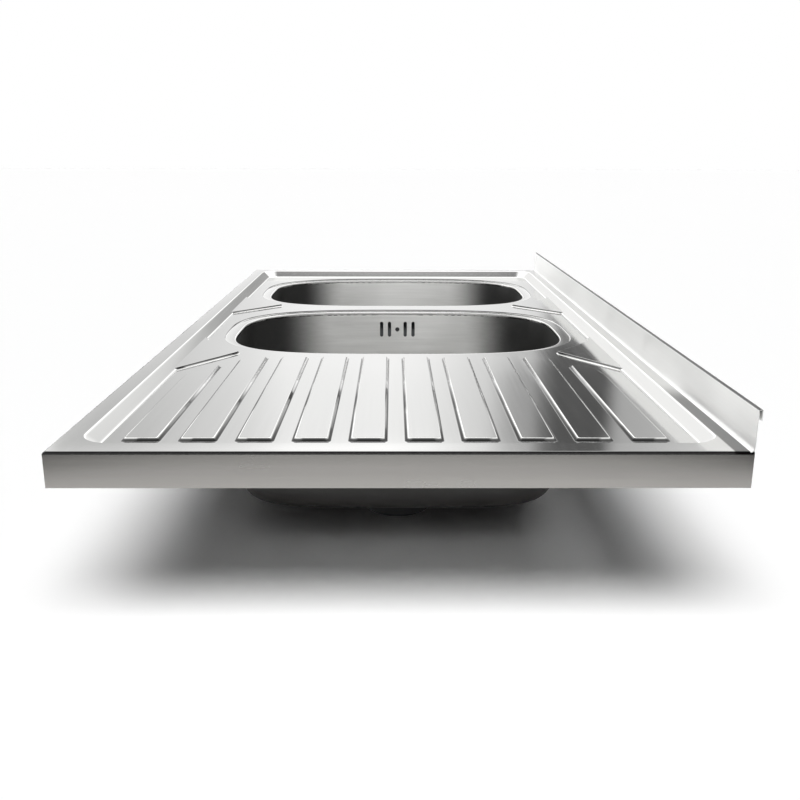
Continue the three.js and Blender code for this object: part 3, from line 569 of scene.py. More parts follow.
def make_top_sheet():
    skin = Skin()
    up = (0, 0, 1)
    side_x = END_X - APRON_BEND
    front, back = FRONT_Y + APRON_BEND, FACE_Y - UPSTAND_BEND
    edge = [((side_x, front, RIM_TOP), up), ((side_x, back, RIM_TOP), up),
            ((-side_x, back, RIM_TOP), up), ((-side_x, front, RIM_TOP), up)]
    recess_top = rounded_polygon(recess_corners(0, 0, 0), RECESS_RADIUS, 12)
    deck_corners = recess_corners(SLOPE_SIDE, SLOPE_DRAINER_END, SLOPE_BOWL_END)
    deck_edge = rounded_polygon(deck_corners, DECK_RADIUS, 12)
    slopes = slope_rings(places_of(recess_top), places_of(deck_edge), rim_level, deck_level, SLOPE_SOFT, 16)
    skin.paint_light_on(slopes, SLOPE_PAINTED_LIGHT)
    skin.flat(edge, [slopes[0]])
    add_bands(skin, slopes)

    pads = [(*rib_outlines(i), paint_rib_light) for i in range(RIB_COUNT)]
    pads += [(*wing_outlines(wing, side), paint_wing_light) for wing in WINGS for side in (-1, 1)]
    holes = []
    for base, top, painted_light in pads:
        rings = slope_rings(base, top, deck_level, raised_level, RIB_SOFT, len(RIB_PAINTED_LIGHT) - 1)
        painted_light(skin, rings)
        add_bands(skin, rings)
        skin.flat(rings[-1])
        holes.append(rings[0])
    lips = []
    for centre in BOWL_CENTRES.values():
        rings = mouth_rings(centre)
        skin.paint_light_on(rings, MOUTH_PAINTED_LIGHT)
        add_bands(skin, rings)
        holes.append(rings[0])
        lips.append(rings[-1])
    skin.flat(slopes[-1], holes)
    skin.thicken(SHEET)
    lower = Vector((0, 0, -SHEET))
    for lip in lips:
        down = [(place, (0, 0, -1)) for place, _ in lip]
        under = [(Vector(place) + lower, (0, 0, -1)) for place, _ in lip]
        skin.band(down, under)
    # The apron takes a darker copy of the steel (painted shade), the upstand a paler one (painted light).
    skin.finish = 1
    add_apron(skin)
    skin.finish = 2
    add_upstand(skin)
    return skin.build("top_sheet_steel")


# ---- bowls --------------------------------------------------------------------------------------

WALL_TOP = -DECK_DROP_BOWLS - LEDGE_DROP - LIP_DROP - 0.05
OVAL_POINTS = 160
# Radius and drop below the floor of the rings that step down into the waste's recess.
RECESS_STEPS = (
    (60.5, 0.25), (59.6, 1.2), (58.8, 2.4), (57.6, 2.9), (56, WASTE_RECESS_DROP),
    (WASTE_HOLE, WASTE_RECESS_DROP),
)


def bowl_stations(offset):
    """(inset, exponent, z) of one skin's rings, down the wall and round the corner to the floor."""
    wall_bottom = BOWL_FLOOR + BOWL_CORNER
    stations = []
    for i in range(16):
        t = i / 16
        exponent = BOWL_EXPONENT + (BOWL_EXPONENT_LOW - BOWL_EXPONENT) * t
        stations.append((BOWL_TAPER * t - offset, exponent, WALL_TOP + (wall_bottom - WALL_TOP) * t))
    for i in range(13):
        angle = math.radians(90 * i / 12)
        inset_by = BOWL_TAPER + BOWL_CORNER * (1 - math.cos(angle)) - offset
        stations.append((inset_by, BOWL_EXPONENT_LOW, wall_bottom - (BOWL_CORNER + offset) * math.sin(angle)))
    return stations


def bowl_skin(centre, offset):
    floor = BOWL_FLOOR - offset

    def ring(half_x, half_y, exponent, z):
        return [(p.x, p.y, z) for p in oval(centre, half_x, half_y, exponent, OVAL_POINTS)]

    half_x, half_y = BOWL_HALF_X - LIP_INSET, BOWL_HALF_Y - LIP_INSET
    rings = [ring(half_x - by, half_y - by, exponent, z) for by, exponent, z in bowl_stations(offset)]
    last = rings[-1]
    recess_edge = ring(WASTE_RECESS, WASTE_RECESS, 2, floor)
    for t in (0.25, 0.5, 0.75, 1.0):
        rings.append([Vector(a).lerp(Vector(b), t) for a, b in zip(last, recess_edge)])
    rings += [ring(radius, radius, 2, floor - drop) for radius, drop in RECESS_STEPS]
    return rings


def smooth(piece, degrees=35):
    piece.data.polygons.foreach_set("use_smooth", [True] * len(piece.data.polygons))
    piece.data.set_sharp_from_angle(angle=math.radians(degrees))


def make_bowl(centre):
    """The inside is brushed steel and the outside is near black."""
    inside = bowl_skin(centre, 0)
    outside = bowl_skin(centre, SHEET)
    body = loft(inside + outside[::-1])
    for face in body.faces:
        middle = face.calc_center_median()
        facing_in = face.normal.dot(Vector((centre - middle.x, -middle.y, -middle.z))) > 0
        face.material_index = 0 if facing_in else 1
    return body


# ---- closed bodies, in millimetres ----------------------------------------------------------------

SAME_PLACE = 1e-4  # points closer than this are joined


def loft(rings, closed=True):
    """A body of faces from ring to ring; the last joins the first, or both ends are capped."""
    body = bmesh.new()
    rows = [[body.verts.new(Vector(point)) for point in ring] for ring in rings]
    pairs = list(zip(rows, rows[1:]))
    if closed:
        pairs.append((rows[-1], rows[0]))
    for first, second in pairs:
        for i in range(len(first)):
            j = (i + 1) % len(first)
            body.faces.new((first[i], first[j], second[j], second[i]))
    if not closed:
        body.faces.new(rows[0][::-1])
        body.faces.new(rows[-1])
    bmesh.ops.remove_doubles(body, verts=body.verts, dist=SAME_PLACE)
    bmesh.ops.recalc_face_normals(body, faces=body.faces)
    return body


MOST_EASED = 0.48  # share of a side that the curve at one of its ends may take


def eased(profile, reach, steps=4, closed=True):
    """A profile whose corners are short curves; reach is one length, or one for each corner."""
    points = []
    count = len(profile)
    for i, corner in enumerate(profile):
        here = Vector(corner)
        if not closed and i in (0, count - 1):
            points.append(here)
            continue
        before = Vector(profile[i - 1]) - here
        after = Vector(profile[(i + 1) % count]) - here
        wanted = reach[i] if isinstance(reach, list) else reach
        start = here + before.normalized() * min(wanted, before.length * MOST_EASED)
        end = here + after.normalized() * min(wanted, after.length * MOST_EASED)
        points += curve(start, here, end, 0, 1, steps)
    return points


def turned(profile, segments=72, closed=True):
    """A body of revolution about Z from (radius, z) points."""
    angles = [2 * math.pi * i / segments for i in range(segments)]
    return loft([[(r * math.cos(a), r * math.sin(a), z) for a in angles] for r, z in profile], closed)


def washer(inner, outer, bottom, top, edge=0.3, segments=72):
    section = [(inner, bottom), (outer, bottom), (outer, top), (inner, top)]
    return turned(eased(section, edge), segments)


def rod(radius, bottom, top, edge=0.3, segments=48):
    section = [(0, bottom), (radius, bottom), (radius, top), (0, top)]
    return turned(eased(section, edge, closed=False), segments, False)


def rectangle(width, height):
    x, y = width / 2, height / 2
    return [(-x, -y), (x, -y), (x, y), (-x, y)]


def at_height(outline, z):
    return [(place.x, place.y, z) for place, _ in outline]


def prism(outline, bottom, top, edge=0.4):
    """An upright body over an outline of (place, inward), with eased edges."""
    rings = []
    for z, outward in ((bottom, -1), (top, 1)):
        ends = []
        for angle in (0, 30, 60, 90):
            tilt = math.radians(angle)
            ring = inset(outline, edge * (1 - math.cos(tilt)))
            ends.append(at_height(ring, z - outward * edge * (1 - math.sin(tilt))))
        rings += ends[::-1] if outward < 0 else ends
    return loft(rings, closed=False)


def block(width, depth, bottom, top, corner=0.8, edge=0.4):
    return prism(rounded_polygon(rectangle(width, depth), corner, 4), bottom, top, edge)


def moved(body, *matrices):
    for matrix in matrices:
        bmesh.ops.transform(body, matrix=matrix, verts=body.verts)
    return body


def shift(x, y, z):
    return Matrix.Translation((x, y, z))


def turn(degrees, axis):
    return Matrix.Rotation(math.radians(degrees), 4, axis)


def mesh_of(body, name="part"):
    mesh = bpy.data.meshes.new(name)
    body.to_mesh(mesh)
    return mesh


def beside(*bodies):
    """Bodies put together in one mesh, with no cutting."""
    gathered = bmesh.new()
    for body in bodies:
        mesh = mesh_of(body)
        gathered.from_mesh(mesh)
        bpy.data.meshes.remove(mesh)
    return gathered


def combined(base, tools, operation):
    """The base with the tools joined (UNION) or taken away (DIFFERENCE)."""
    if operation == "DIFFERENCE":
        tools = [beside(*tools)]
    parts = [add_object("part", mesh_of(body)) for body in (base, *tools)]
    target = parts[0]
    for tool in parts[1:]:
        modifier = target.modifiers.new("shape", "BOOLEAN")
        modifier.operation = operation
        modifier.solver = "EXACT"
        modifier.object = tool
    evaluated = target.evaluated_get(bpy.context.evaluated_depsgraph_get())
    result = bmesh.new()
    result.from_mesh(evaluated.to_mesh())
    evaluated.to_mesh_clear()
    for part in parts:
        mesh = part.data
        bpy.data.objects.remove(part)
        bpy.data.meshes.remove(mesh)
    bmesh.ops.remove_doubles(result, verts=result.verts, dist=SAME_PLACE)
    return result


def joined(base, *tools):
    return combined(base, tools, "UNION")


def cut(base, *tools):
    return combined(base, tools, "DIFFERENCE")


# ---- overflow ---------------------------------------------------------------------------------------

OVERFLOW_Z = -40.0
OVERFLOW_WALL_X = BOWL_CENTRES["drainer"] - (BOWL_HALF_X - LIP_INSET) + 0.7
# Local X runs across the wall, local Y up and local Z away from the drainer.
FROM_OVERFLOW_WALL = Matrix.Translation((OVERFLOW_WALL_X, 0, OVERFLOW_Z)) @ Matrix(
    ((0, 0, -1, 0), (-1, 0, 0, 0), (0, 1, 0, 0), (0, 0, 0, 1)))
SLOT_SIZE = (5.5, 25.0)
SLOT_PITCH = 13.0
SCREW_RADIUS = 2.0
SOCKET_RADIUS = 2.7
GASKET_FACE = SHEET + GAP + 0.5
GASKET_THICK = 2.0
GASKET_WIDTH = 5.0
BOX_SIZE = (74.0, 42.0)
BOX_CORNER = 6.0
BOX_FACE = GASKET_FACE + GASKET_THICK + GAP
BOX_WALL = 2.0
BOX_DEPTH = 15.0
HOSE_TOP_Z = OVERFLOW_Z - BOX_SIZE[1] / 2 - 3
HOSE_X = OVERFLOW_WALL_X - BOX_FACE - BOX_DEPTH / 2 - 2.5
HOSE_LEVEL = -263.0
HOSE_BEND = 50.0
HOSE_END_X = BOWL_CENTRES["drainer"] - 53
SPIGOT_RADIUS = 6.6
SPIGOT_BORE = 5.0
SPIGOT_LENGTH = 18.0


def slot_cutters():
    """The overflow slots and the screw's hole, through the wall that faces the end bowl."""
    outline = rounded_polygon(rectangle(*SLOT_SIZE), SLOT_SIZE[0] / 2 - 0.01, 8)
    cutters = [moved(prism(outline, -10, 10), shift(step * SLOT_PITCH, 0, 0)) for step in (-2, -1, 1, 2)]
    cutters.append(rod(SCREW_RADIUS + 0.5, -10, 10))
    return [moved(cutter, FROM_OVERFLOW_WALL) for cutter in cutters]


def overflow_screw():
    """A domed screw with a hexagon socket; its head takes a black finish of its own, painted shade that reads
    as a dark hole.
    """
    profile = [(0, -2.4), (1.8, -2.2), (3.4, -1.2), (3.6, 0), (SCREW_RADIUS, 0), (SCREW_RADIUS, 13), (0, 14)]
    screw = turned(eased(profile, 0.5, closed=False), 48, False)
    corners = [math.radians(angle) for angle in range(0, 360, 60)]
    socket = [Vector((math.cos(a), math.sin(a))) * SOCKET_RADIUS for a in corners]
    recess = prism(rounded_polygon(socket, 0.2, 3), -4, -0.4, 0.1)
    screw = moved(cut(screw, recess), shift(0, 0, -GAP), FROM_OVERFLOW_WALL)
    for face in screw.faces:
        # The head, inside the bowl, takes the black finish: painted shade.
        face.material_index = int(face.calc_center_median().x > OVERFLOW_WALL_X)
    return screw


def overflow_gasket():
    outer = rounded_polygon(rectangle(*BOX_SIZE), BOX_CORNER, 6)
    opening = rectangle(BOX_SIZE[0] - 2 * GASKET_WIDTH, BOX_SIZE[1] - 2 * GASKET_WIDTH)
    inner = rounded_polygon(opening, BOX_CORNER / 2, 6)
    back = GASKET_FACE + GASKET_THICK
    rings = [at_height(inset(outer, 0.3), GASKET_FACE), at_height(outer, GASKET_FACE + 0.3),
             at_height(outer, back - 0.3), at_height(inset(outer, 0.3), back),
             at_height(inner, back), at_height(inner, GASKET_FACE)]
    return moved(loft(rings), FROM_OVERFLOW_WALL)


def overflow_box():
    """A moulded tray, open to the wall, with stiffening ribs, a screw boss and a spigot below."""
    outline = rounded_polygon(rectangle(*BOX_SIZE), BOX_CORNER, 6)
    floor = BOX_DEPTH - BOX_WALL
    edge = [(0, 0.3), (0.3, 0), (floor, 0), (BOX_DEPTH - 0.6, 0.6), (BOX_DEPTH, BOX_WALL)]
    rings = [at_height(inset(outline, by), z) for z, by in edge[::-1]]
    rings += [at_height(inset(outline, BOX_WALL), z) for z in (0.3, floor)]
    parts = [rod(4.5, 0.5, BOX_DEPTH - 1)]
    for x in (-24, -12, 12, 24):
        rib = block(1.6, BOX_SIZE[1] - 9, BOX_DEPTH - 1, BOX_DEPTH + 1.2, 0.7, 0.4)
        parts.append(moved(rib, shift(x, 0, 0)))
    placing = (shift(0, 0, BOX_FACE), FROM_OVERFLOW_WALL)
    tray = moved(joined(loft(rings, closed=False), *parts), *placing)
    top = OVERFLOW_Z - BOX_SIZE[1] / 2 + 1
    bottom = HOSE_TOP_Z - SPIGOT_LENGTH
    below = shift(HOSE_X, 0, 0)
    spigot = moved(rod(SPIGOT_RADIUS, bottom, top, 0.8), below)
    collar = moved(rod(SPIGOT_RADIUS + 1.6, top - 2.2, top - 0.2, 0.3), below)
    bore = moved(rod(SPIGOT_BORE, bottom - 2, top + 4), below)
    hole = moved(rod(SCREW_RADIUS + GAP, -1, BOX_DEPTH - 3), *placing)
    return cut(joined(tray, spigot, collar), bore, hole)


HOSE_BORE = 7.5
HOSE_CUFF = 9.4
HOSE_CUFF_LENGTH = 21.0
HOSE_CREST = 10.5
HOSE_ROOT = 8.7
HOSE_RIBS = 40
HOSE_SIDES = 32
HOSE_STEPS = 6  # rings for each rib
CLIP_FROM_END = 10.0
CLIP_BAND = 1.4


def hose_frame(distance, down, bend):
    """Centre and forward direction at a distance along the hose: down, round a quarter turn, level."""
    if distance <= down:
        return Vector((HOSE_X, 0, HOSE_TOP_Z - distance)), Vector((0, 0, -1))
    if distance <= down + bend:
        angle = math.pi + (distance - down) / HOSE_BEND
        centre = Vector((HOSE_X + HOSE_BEND, 0, HOSE_LEVEL + HOSE_BEND))
        outward = Vector((math.cos(angle), 0, math.sin(angle)))
        return centre + outward * HOSE_BEND, Vector((-outward.z, 0, outward.x))
    return Vector((HOSE_X + HOSE_BEND + distance - down - bend, 0, HOSE_LEVEL)), Vector((1, 0, 0))


def overflow_hose():
    """A ribbed hose with plain cuffs and a smooth bore."""
    down = HOSE_TOP_Z - HOSE_LEVEL - HOSE_BEND
    bend = HOSE_BEND * math.pi / 2
    length = down + bend + HOSE_END_X - HOSE_X - HOSE_BEND
    ribbed = length - 2 * HOSE_CUFF_LENGTH
    across = Vector((0, 1, 0))

    def ring(distance, radius):
        centre, ahead = hose_frame(distance, down, bend)
        up = across.cross(ahead)
        angles = [2 * math.pi * i / HOSE_SIDES for i in range(HOSE_SIDES)]
        return [centre + up * radius * math.cos(a) - across * radius * math.sin(a) for a in angles]

    middle, swing = (HOSE_CREST + HOSE_ROOT) / 2, (HOSE_CREST - HOSE_ROOT) / 2
    outside = [ring(0, HOSE_CUFF - 0.5), ring(0.5, HOSE_CUFF), ring(HOSE_CUFF_LENGTH - 0.6, HOSE_CUFF)]
    steps = HOSE_RIBS * HOSE_STEPS
    for i in range(steps):
        wave = math.sin(2 * math.pi * i / HOSE_STEPS)
        flattened = math.copysign(abs(wave) ** 0.7, wave)
        outside.append(ring(HOSE_CUFF_LENGTH + ribbed * (i + 0.5) / steps, middle + swing * flattened))
    outside += [ring(length - HOSE_CUFF_LENGTH + 0.6, HOSE_CUFF), ring(length - 0.5, HOSE_CUFF),
                ring(length, HOSE_CUFF - 0.5)]
    inside = [ring(length * i / 60, HOSE_BORE) for i in range(61)]
    return loft(outside + inside[::-1])


def hose_clip():
    """A worm-drive clip: a band with turned-up edges, the screw's housing and the slotted screw."""
    inner = HOSE_CUFF + GAP
    outer, half = inner + CLIP_BAND, 4.0
    section = [(inner, -half), (outer, -half), (outer, -half + 0.6), (outer - 0.5, -half + 1.0),
               (outer - 0.5, half - 1.0), (outer, half - 0.6), (outer, half), (inner, half)]
    band = turned(eased(section, 0.2, 2), 64)
    housing = moved(block(5.4, 6.4, -3.4, 3.4, 1.4, 0.7), shift(-HOSE_CUFF - 3.9, 0, 0))
    screw = moved(rod(2.3, -5.6, 5.8, 0.5, 24), turn(90, "X"), shift(-HOSE_CUFF - 4.3, 0, 0))
    slot = moved(block(0.8, 6, -1, 1, 0.1, 0.1), turn(90, "X"), shift(-HOSE_CUFF - 4.3, -5.9, 0))
    return cut(beside(band, housing, screw), slot)


# ---- basket strainer waste, about Z at the bowl's centre ----------------------------------------------

RECESS_FACE = BOWL_FLOOR - WASTE_RECESS_DROP
UNDERSIDE = RECESS_FACE - SHEET
FLANGE_BOTTOM = RECESS_FACE + 2 * GAP + 1
CUP_RADIUS = 43.5
CUP_FLOOR = -267.0
CUP_OPENING = 20.0
CLAMP_RADIUS = 3.4
BODY_TOP = UNDERSIDE - 2 * GAP - 3
BODY_RADIUS = 50.0
BODY_WALL = 3.0
GUSSETS = 12
BODY_FLANGE = 55.0
BODY_BOTTOM = CAD_BOX[0][2] / MM
BODY_FLOOR = BODY_BOTTOM + 2.5
OUTLET_Z = -267.0
OUTLET_RADIUS = 17.0
OUTLET_BORE = 14.0
OUTLET_END = 92.0
THREAD_START = 62.0
THREAD_PITCH = 3.0
SEAL_THICK = 3.0
NUT_LIP = 2.5
NUT_END = OUTLET_END + 2 * GAP + SEAL_THICK + NUT_LIP
NUT_LENGTH = 20.0
NUT_RADIUS = 20.55
NUT_LOBES = 10


def along_wall_axis(body):
    """Turns a body made about Z so that it points to the wall at the outlet's height."""
    return moved(body, turn(-90, "X"), shift(0, 0, OUTLET_Z))


def strainer_cup():
    """A drawn cup with a dished flange, a rolled opening and four spokes that carry the hub."""
    top = FLANGE_BOTTOM + 1
    under = CUP_FLOOR - 1
    profile = [
        (CUP_OPENING, under), (CUP_RADIUS, under), (CUP_RADIUS, FLANGE_BOTTOM), (55, FLANGE_BOTTOM),
        (54.5, top), (CUP_RADIUS - 1, top - 0.4), (CUP_RADIUS - 1, CUP_FLOOR), (CUP_OPENING, CUP_FLOOR)]
    shell = turned(eased(profile, [0.3, 5, 0.8, 0.3, 0.6, 3, 4.2, 0.3], 6), 96)
    hub = rod(7, under, CUP_FLOOR, 0.3)
    spokes = [moved(block(2 * CUP_OPENING + 3, 4, under + 0.05, CUP_FLOOR - 0.05, 1.5, 0.3), turn(angle, "Z"))
              for angle in (0, 90)]
    return cut(joined(shell, hub, *spokes), rod(CLAMP_RADIUS + GAP, CUP_FLOOR - 5, CUP_FLOOR + 5))


def outlet_pipe():
    """The outlet's stub with its thread, along Z from the pot's middle."""
    root = OUTLET_RADIUS - 0.8
    pipe = [(0, BODY_RADIUS - 2), (OUTLET_RADIUS - 0.2, BODY_RADIUS - 2)]
    start = THREAD_START
    while start < OUTLET_END - THREAD_PITCH:
        pipe += [(root, start), (root, start + 1.2)]
        pipe += [(OUTLET_RADIUS, start + 1.7), (OUTLET_RADIUS, start + 2.4)]
        start += THREAD_PITCH
    pipe += [(root, OUTLET_END - 1), (root, OUTLET_END), (0, OUTLET_END)]
    return turned(pipe, 64, False)


def waste_body(has_overflow):
    """The moulded lower pot with gussets under its flange, a threaded outlet and a hose spigot."""
    inner = BODY_RADIUS - BODY_WALL
    flange = BODY_TOP - 4
    boss_top = CUP_FLOOR - 1 - GAP
    bore = CLAMP_RADIUS + GAP
    profile = [
        (0, BODY_BOTTOM), (BODY_RADIUS - 3, BODY_BOTTOM), (BODY_RADIUS, BODY_BOTTOM + 3),
        (BODY_RADIUS, flange), (BODY_FLANGE, flange), (BODY_FLANGE, BODY_TOP), (inner, BODY_TOP),
        (inner, BODY_FLOOR), (8, BODY_FLOOR), (8, boss_top), (bore, boss_top), (bore, BODY_FLOOR + 1),
        (0, BODY_FLOOR + 1)]
    pot = turned(eased(profile, 0.8, closed=False), 96, False)
    parts = []
    for i in range(GUSSETS):
        gusset = block(6, 1.6, BODY_TOP - 16, BODY_TOP - 3.6, 0.6, 0.3)
        parts.append(moved(gusset, shift(BODY_RADIUS + 1.2, 0, 0), turn(360 / GUSSETS * (i + 0.5), "Z")))
    parts.append(along_wall_axis(outlet_pipe()))
    parts.append(along_wall_axis(rod(OUTLET_RADIUS + 1.4, inner, BODY_RADIUS + 3, 0.8, 64)))
    bores = [along_wall_axis(rod(OUTLET_BORE, inner - 6, OUTLET_END + 2, 0.1, 64))]
    if has_overflow:
        tip = BOWL_CENTRES["drainer"] - HOSE_END_X + SPIGOT_LENGTH - 1
        placing = (turn(-90, "Y"), shift(0, 0, HOSE_LEVEL))
        parts.append(moved(rod(SPIGOT_RADIUS, BODY_RADIUS - 2, tip, 0.6), *placing))
        bores.append(moved(rod(SPIGOT_BORE, inner - 4, tip + 2, 0.1), *placing))
    return cut(joined(pot, *parts), *bores)


def clamp_screw():
    top = CUP_FLOOR + GAP
    profile = [(0, BODY_FLOOR + 2), (CLAMP_RADIUS, BODY_FLOOR + 3), (CLAMP_RADIUS, top), (6, top),
               (6, top + 1.2), (3.5, top + 2.4), (0, top + 2.6)]
    screw = turned(eased(profile, 0.4, closed=False), 48, False)
    return cut(screw, block(9, 1.4, top + 1.6, top + 4, 0.2, 0.1))


def outlet_nut():
    """A coupling nut with grip lobes and an inward lip."""
    angles = [2 * math.pi * i / 180 for i in range(180)]
    start, end = NUT_END - NUT_LENGTH, NUT_END

    def ring(radii, z):
        return [(r * math.cos(a), r * math.sin(a), z) for r, a in zip(radii, angles)]

    def lobed(shrink, z):
        waves = [0.4 * math.tanh(2.5 * math.cos(NUT_LOBES * a)) for a in angles]
        return ring([NUT_RADIUS + wave - shrink for wave in waves], z)

    outside = [(0.8, start), (0.2, start + 0.3), (0, start + 0.9), (0, end - 1.2), (0.4, end - 0.4),
               (1.2, end)]
    inside = [(OUTLET_BORE + 0.3, end), (OUTLET_BORE, end - 0.3), (OUTLET_BORE, end - NUT_LIP),
              (OUTLET_RADIUS + 0.6, end - NUT_LIP), (OUTLET_RADIUS + 0.6, start + 0.5),
              (OUTLET_RADIUS + 1.1, start)]
    rings = [lobed(*row) for row in outside] + [ring([radius] * len(angles), z) for radius, z in inside]
    return along_wall_axis(loft(rings))


STOPPER_BOTTOM = CUP_FLOOR + GAP
STOPPER_TOP = STOPPER_BOTTOM + 3
BASKET_BOTTOM = STOPPER_TOP + GAP
BASKET_TOP = -243.5


def stopper():
    """A rubber ring with a raised bead round its sealing edge."""
    low, high = STOPPER_BOTTOM, STOPPER_TOP
    profile = [(10, low + 0.4), (17, low + 0.4), (19, low), (25, low), (25, high - 0.6), (23, high),
               (12, high), (10, high - 0.6)]
    return turned(eased(profile, 0.5), 96)


def basket():
    """A pressed cup with a rolled rim and round-ended slots round its wall."""
    floor, under_rim = BASKET_BOTTOM + 1, BASKET_TOP - 1
    profile = [(0, BASKET_BOTTOM), (31, BASKET_BOTTOM), (38, under_rim), (41, under_rim), (41, BASKET_TOP),
               (37, BASKET_TOP), (30.2, floor), (0, floor)]
    shell = turned(eased(profile, [0, 3.2, 1.2, 0.45, 0.45, 1.6, 2.6, 0], 6, closed=False), 96, False)
    middle = (BASKET_BOTTOM + BASKET_TOP) / 2
    outline = rounded_polygon(rectangle(11, 5), 2.45, 6)
    slots = []
    for angle in range(0, 360, 45):
        slot = prism(outline, 27, 43, 0.05)
        slots.append(moved(slot, turn(90, "Y"), shift(0, 0, middle), turn(angle, "Z")))
    return cut(shell, *slots)


def basket_knob():
    profile = [(0, 0), (6, 0), (5.4, 1), (3.4, 2.6), (3, 5), (3, 11), (4.4, 13), (8, 14.2), (8.5, 16.4),
               (7.2, 18), (0, 18.6)]
    knob = turned(eased(profile, 0.9, closed=False), 64, False)
    return moved(knob, shift(0, 0, BASKET_BOTTOM + 1 + GAP))


# ---- reinforcement and damping ------------------------------------------------------------------------

STIFFENER_X = 390.0
STIFFENER_HALF = 32.0
STIFFENER_REACH = 215.0
PAD_SIZE = (120.0, 84.0)
PAD_PLACE_Y = 122.0
PAD_CELLS = (12, 8)
PAD_PITCH = (9.4, 9.6)


def stiffener():
    """A hat-section rail glued across the underside of the drainer."""
    half = [(15, -17), (17, -1), (STIFFENER_HALF, -1), (STIFFENER_HALF, 0), (16, 0), (14, -16)]
    outline = half + [(-x, z) for x, z in half[::-1]]
    reaches = [1.5, 1.6, 0.3, 0.3, 0.8, 0.8]
    profile = eased(outline, reaches + reaches[::-1], 5)
    top = deck_level(STIFFENER_X - STIFFENER_HALF) - SHEET - GAP
    ends = (-STIFFENER_REACH, -STIFFENER_REACH + 0.4, 0, STIFFENER_REACH - 0.4, STIFFENER_REACH)
    rings = [[(STIFFENER_X + p.x, y, top + p.y) for p in profile] for y in ends]
    return loft(rings, closed=False)


def damping_pad(centre, side):
    """A bitumen sheet with small raised squares pressed into it."""
    top = BOWL_FLOOR - SHEET - GAP
    sheet = prism(rounded_polygon(rectangle(*PAD_SIZE), 6, 6), top - 2, top, 0.4)
    square = rounded_polygon(rectangle(7.6, 7.6), 1.2, 2)
    cells = []
    for i in range(PAD_CELLS[0]):
        for j in range(PAD_CELLS[1]):
            x = PAD_PITCH[0] * (i - (PAD_CELLS[0] - 1) / 2)
            y = PAD_PITCH[1] * (j - (PAD_CELLS[1] - 1) / 2)
            cells.append(moved(prism(square, top - 2.5, top - 1.9, 0.25), shift(x, y, 0)))
    return moved(beside(sheet, *cells), shift(centre, side * PAD_PLACE_Y, 0))


# ---- materials ----------------------------------------------------------------------------


def node_material(name):
    material = bpy.data.materials.new(name)
    material.use_nodes = True
    tree = material.node_tree
    return material, tree, tree.nodes["Principled BSDF"]


def wired(tree, kind, output, inputs=None, **properties):
    """A node's output. An input is given as a value, or as a socket to link."""
    node = tree.nodes.new(kind)
    for key, value in properties.items():
        setattr(node, key, value)
    for key, value in (inputs or {}).items():
        if isinstance(value, bpy.types.NodeSocket):
            tree.links.new(value, node.inputs[key])
        else:
            node.inputs[key].default_value = value
    return node.outputs[output]


def math_node(tree, operation, *values):
    return wired(tree, "ShaderNodeMath", "Value", dict(enumerate(values)), operation=operation)


def object_place(tree):
    return wired(tree, "ShaderNodeTexCoord", "Object")


def noise(tree, scale, detail=4.0, stretch=(1, 1, 1)):
    """Noise over the object's own coordinates, stretched along the grain."""
    place = wired(tree, "ShaderNodeMapping", "Vector", {"Vector": object_place(tree), "Scale": stretch})
    return wired(tree, "ShaderNodeTexNoise", "Fac", {"Vector": place, "Scale": scale, "Detail": detail})


def spread(tree, value, low, high):
    """A 0..1 value, which keeps near its middle, spread over a range."""
    limits = {"From Min": 0.3, "From Max": 0.7, "To Min": low, "To Max": high}
    return wired(tree, "ShaderNodeMapRange", "Result", {"Value": value, **limits})


def tinted(tree, shader, colour, shade):
    """The base colour times a varying shade."""
    inputs = {"Factor": 1.0, "A": (*colour, 1), "B": shade}
    product = wired(tree, "ShaderNodeMix", "Result", inputs, data_type="RGBA", blend_type="MULTIPLY")
    tree.links.new(product, shader.inputs["Base Color"])


def roughened(tree, shader, *layers):
    """Roughness as the sum of two varying values."""
    tree.links.new(math_node(tree, "ADD", *layers), shader.inputs["Roughness"])


def bumped(tree, shader, *layers):
    """Bump layers of (height, depth in metres), each on top of the one before."""
    below = {}
    for height, depth in layers:
        inputs = {"Distance": depth, "Strength": 1.0, "Height": height, **below}
        below = {"Normal": wired(tree, "ShaderNodeBump", "Normal", inputs)}
    tree.links.new(below["Normal"], shader.inputs["Normal"])


def share_along(tree, axis, low, high, is_from_middle=False):
    """0 to 1 between two places along an axis of the object, or of its distance from the middle."""
    value = wired(tree, "ShaderNodeSeparateXYZ", axis, {"Vector": object_place(tree)})
    if is_from_middle:
        value = math_node(tree, "ABSOLUTE", value)
    inputs = {"Value": value, "From Min": low, "From Max": high}
    return wired(tree, "ShaderNodeMapRange", "Result", inputs, interpolation_type="SMOOTHSTEP")


def darkened(tree, shade, mask, amount):
    """A shade made darker by an amount where the mask is 1."""
    return math_node(tree, "MULTIPLY", shade, math_node(tree, "MULTIPLY_ADD", mask, -amount, 1.0))


# In metres from the object's origin.
FILM_X = (0.37, 0.44)
FILM_Y = (0.2795, 0.2815)
# Where a bowl's painted shade starts and ends from its middle, and how much the hand film and that painted
# shade take of the colour.
BOWL_SHADE_Y = (0.105, 0.19)
FILM_AND_SHADE_SHARE = 0.86


def hand_film(tree, shade):
    """A film left by hands on the rim by the upstand, towards the drainer's end."""
    mask = math_node(tree, "MULTIPLY", share_along(tree, "X", *FILM_X), share_along(tree, "Y", *FILM_Y))
    return darkened(tree, shade, mask, FILM_AND_SHADE_SHARE)


def painted_shade_at_ends(tree, shade):
    """The deep-drawn ends of a bowl are given painted shade, darker than its long walls."""
    return darkened(tree, shade, share_along(tree, "Y", *BOWL_SHADE_Y, True), FILM_AND_SHADE_SHARE)


PAINTED_LIGHT_SHARE = 0.85  # of the colour, that a full painted highlight adds or full painted shade takes


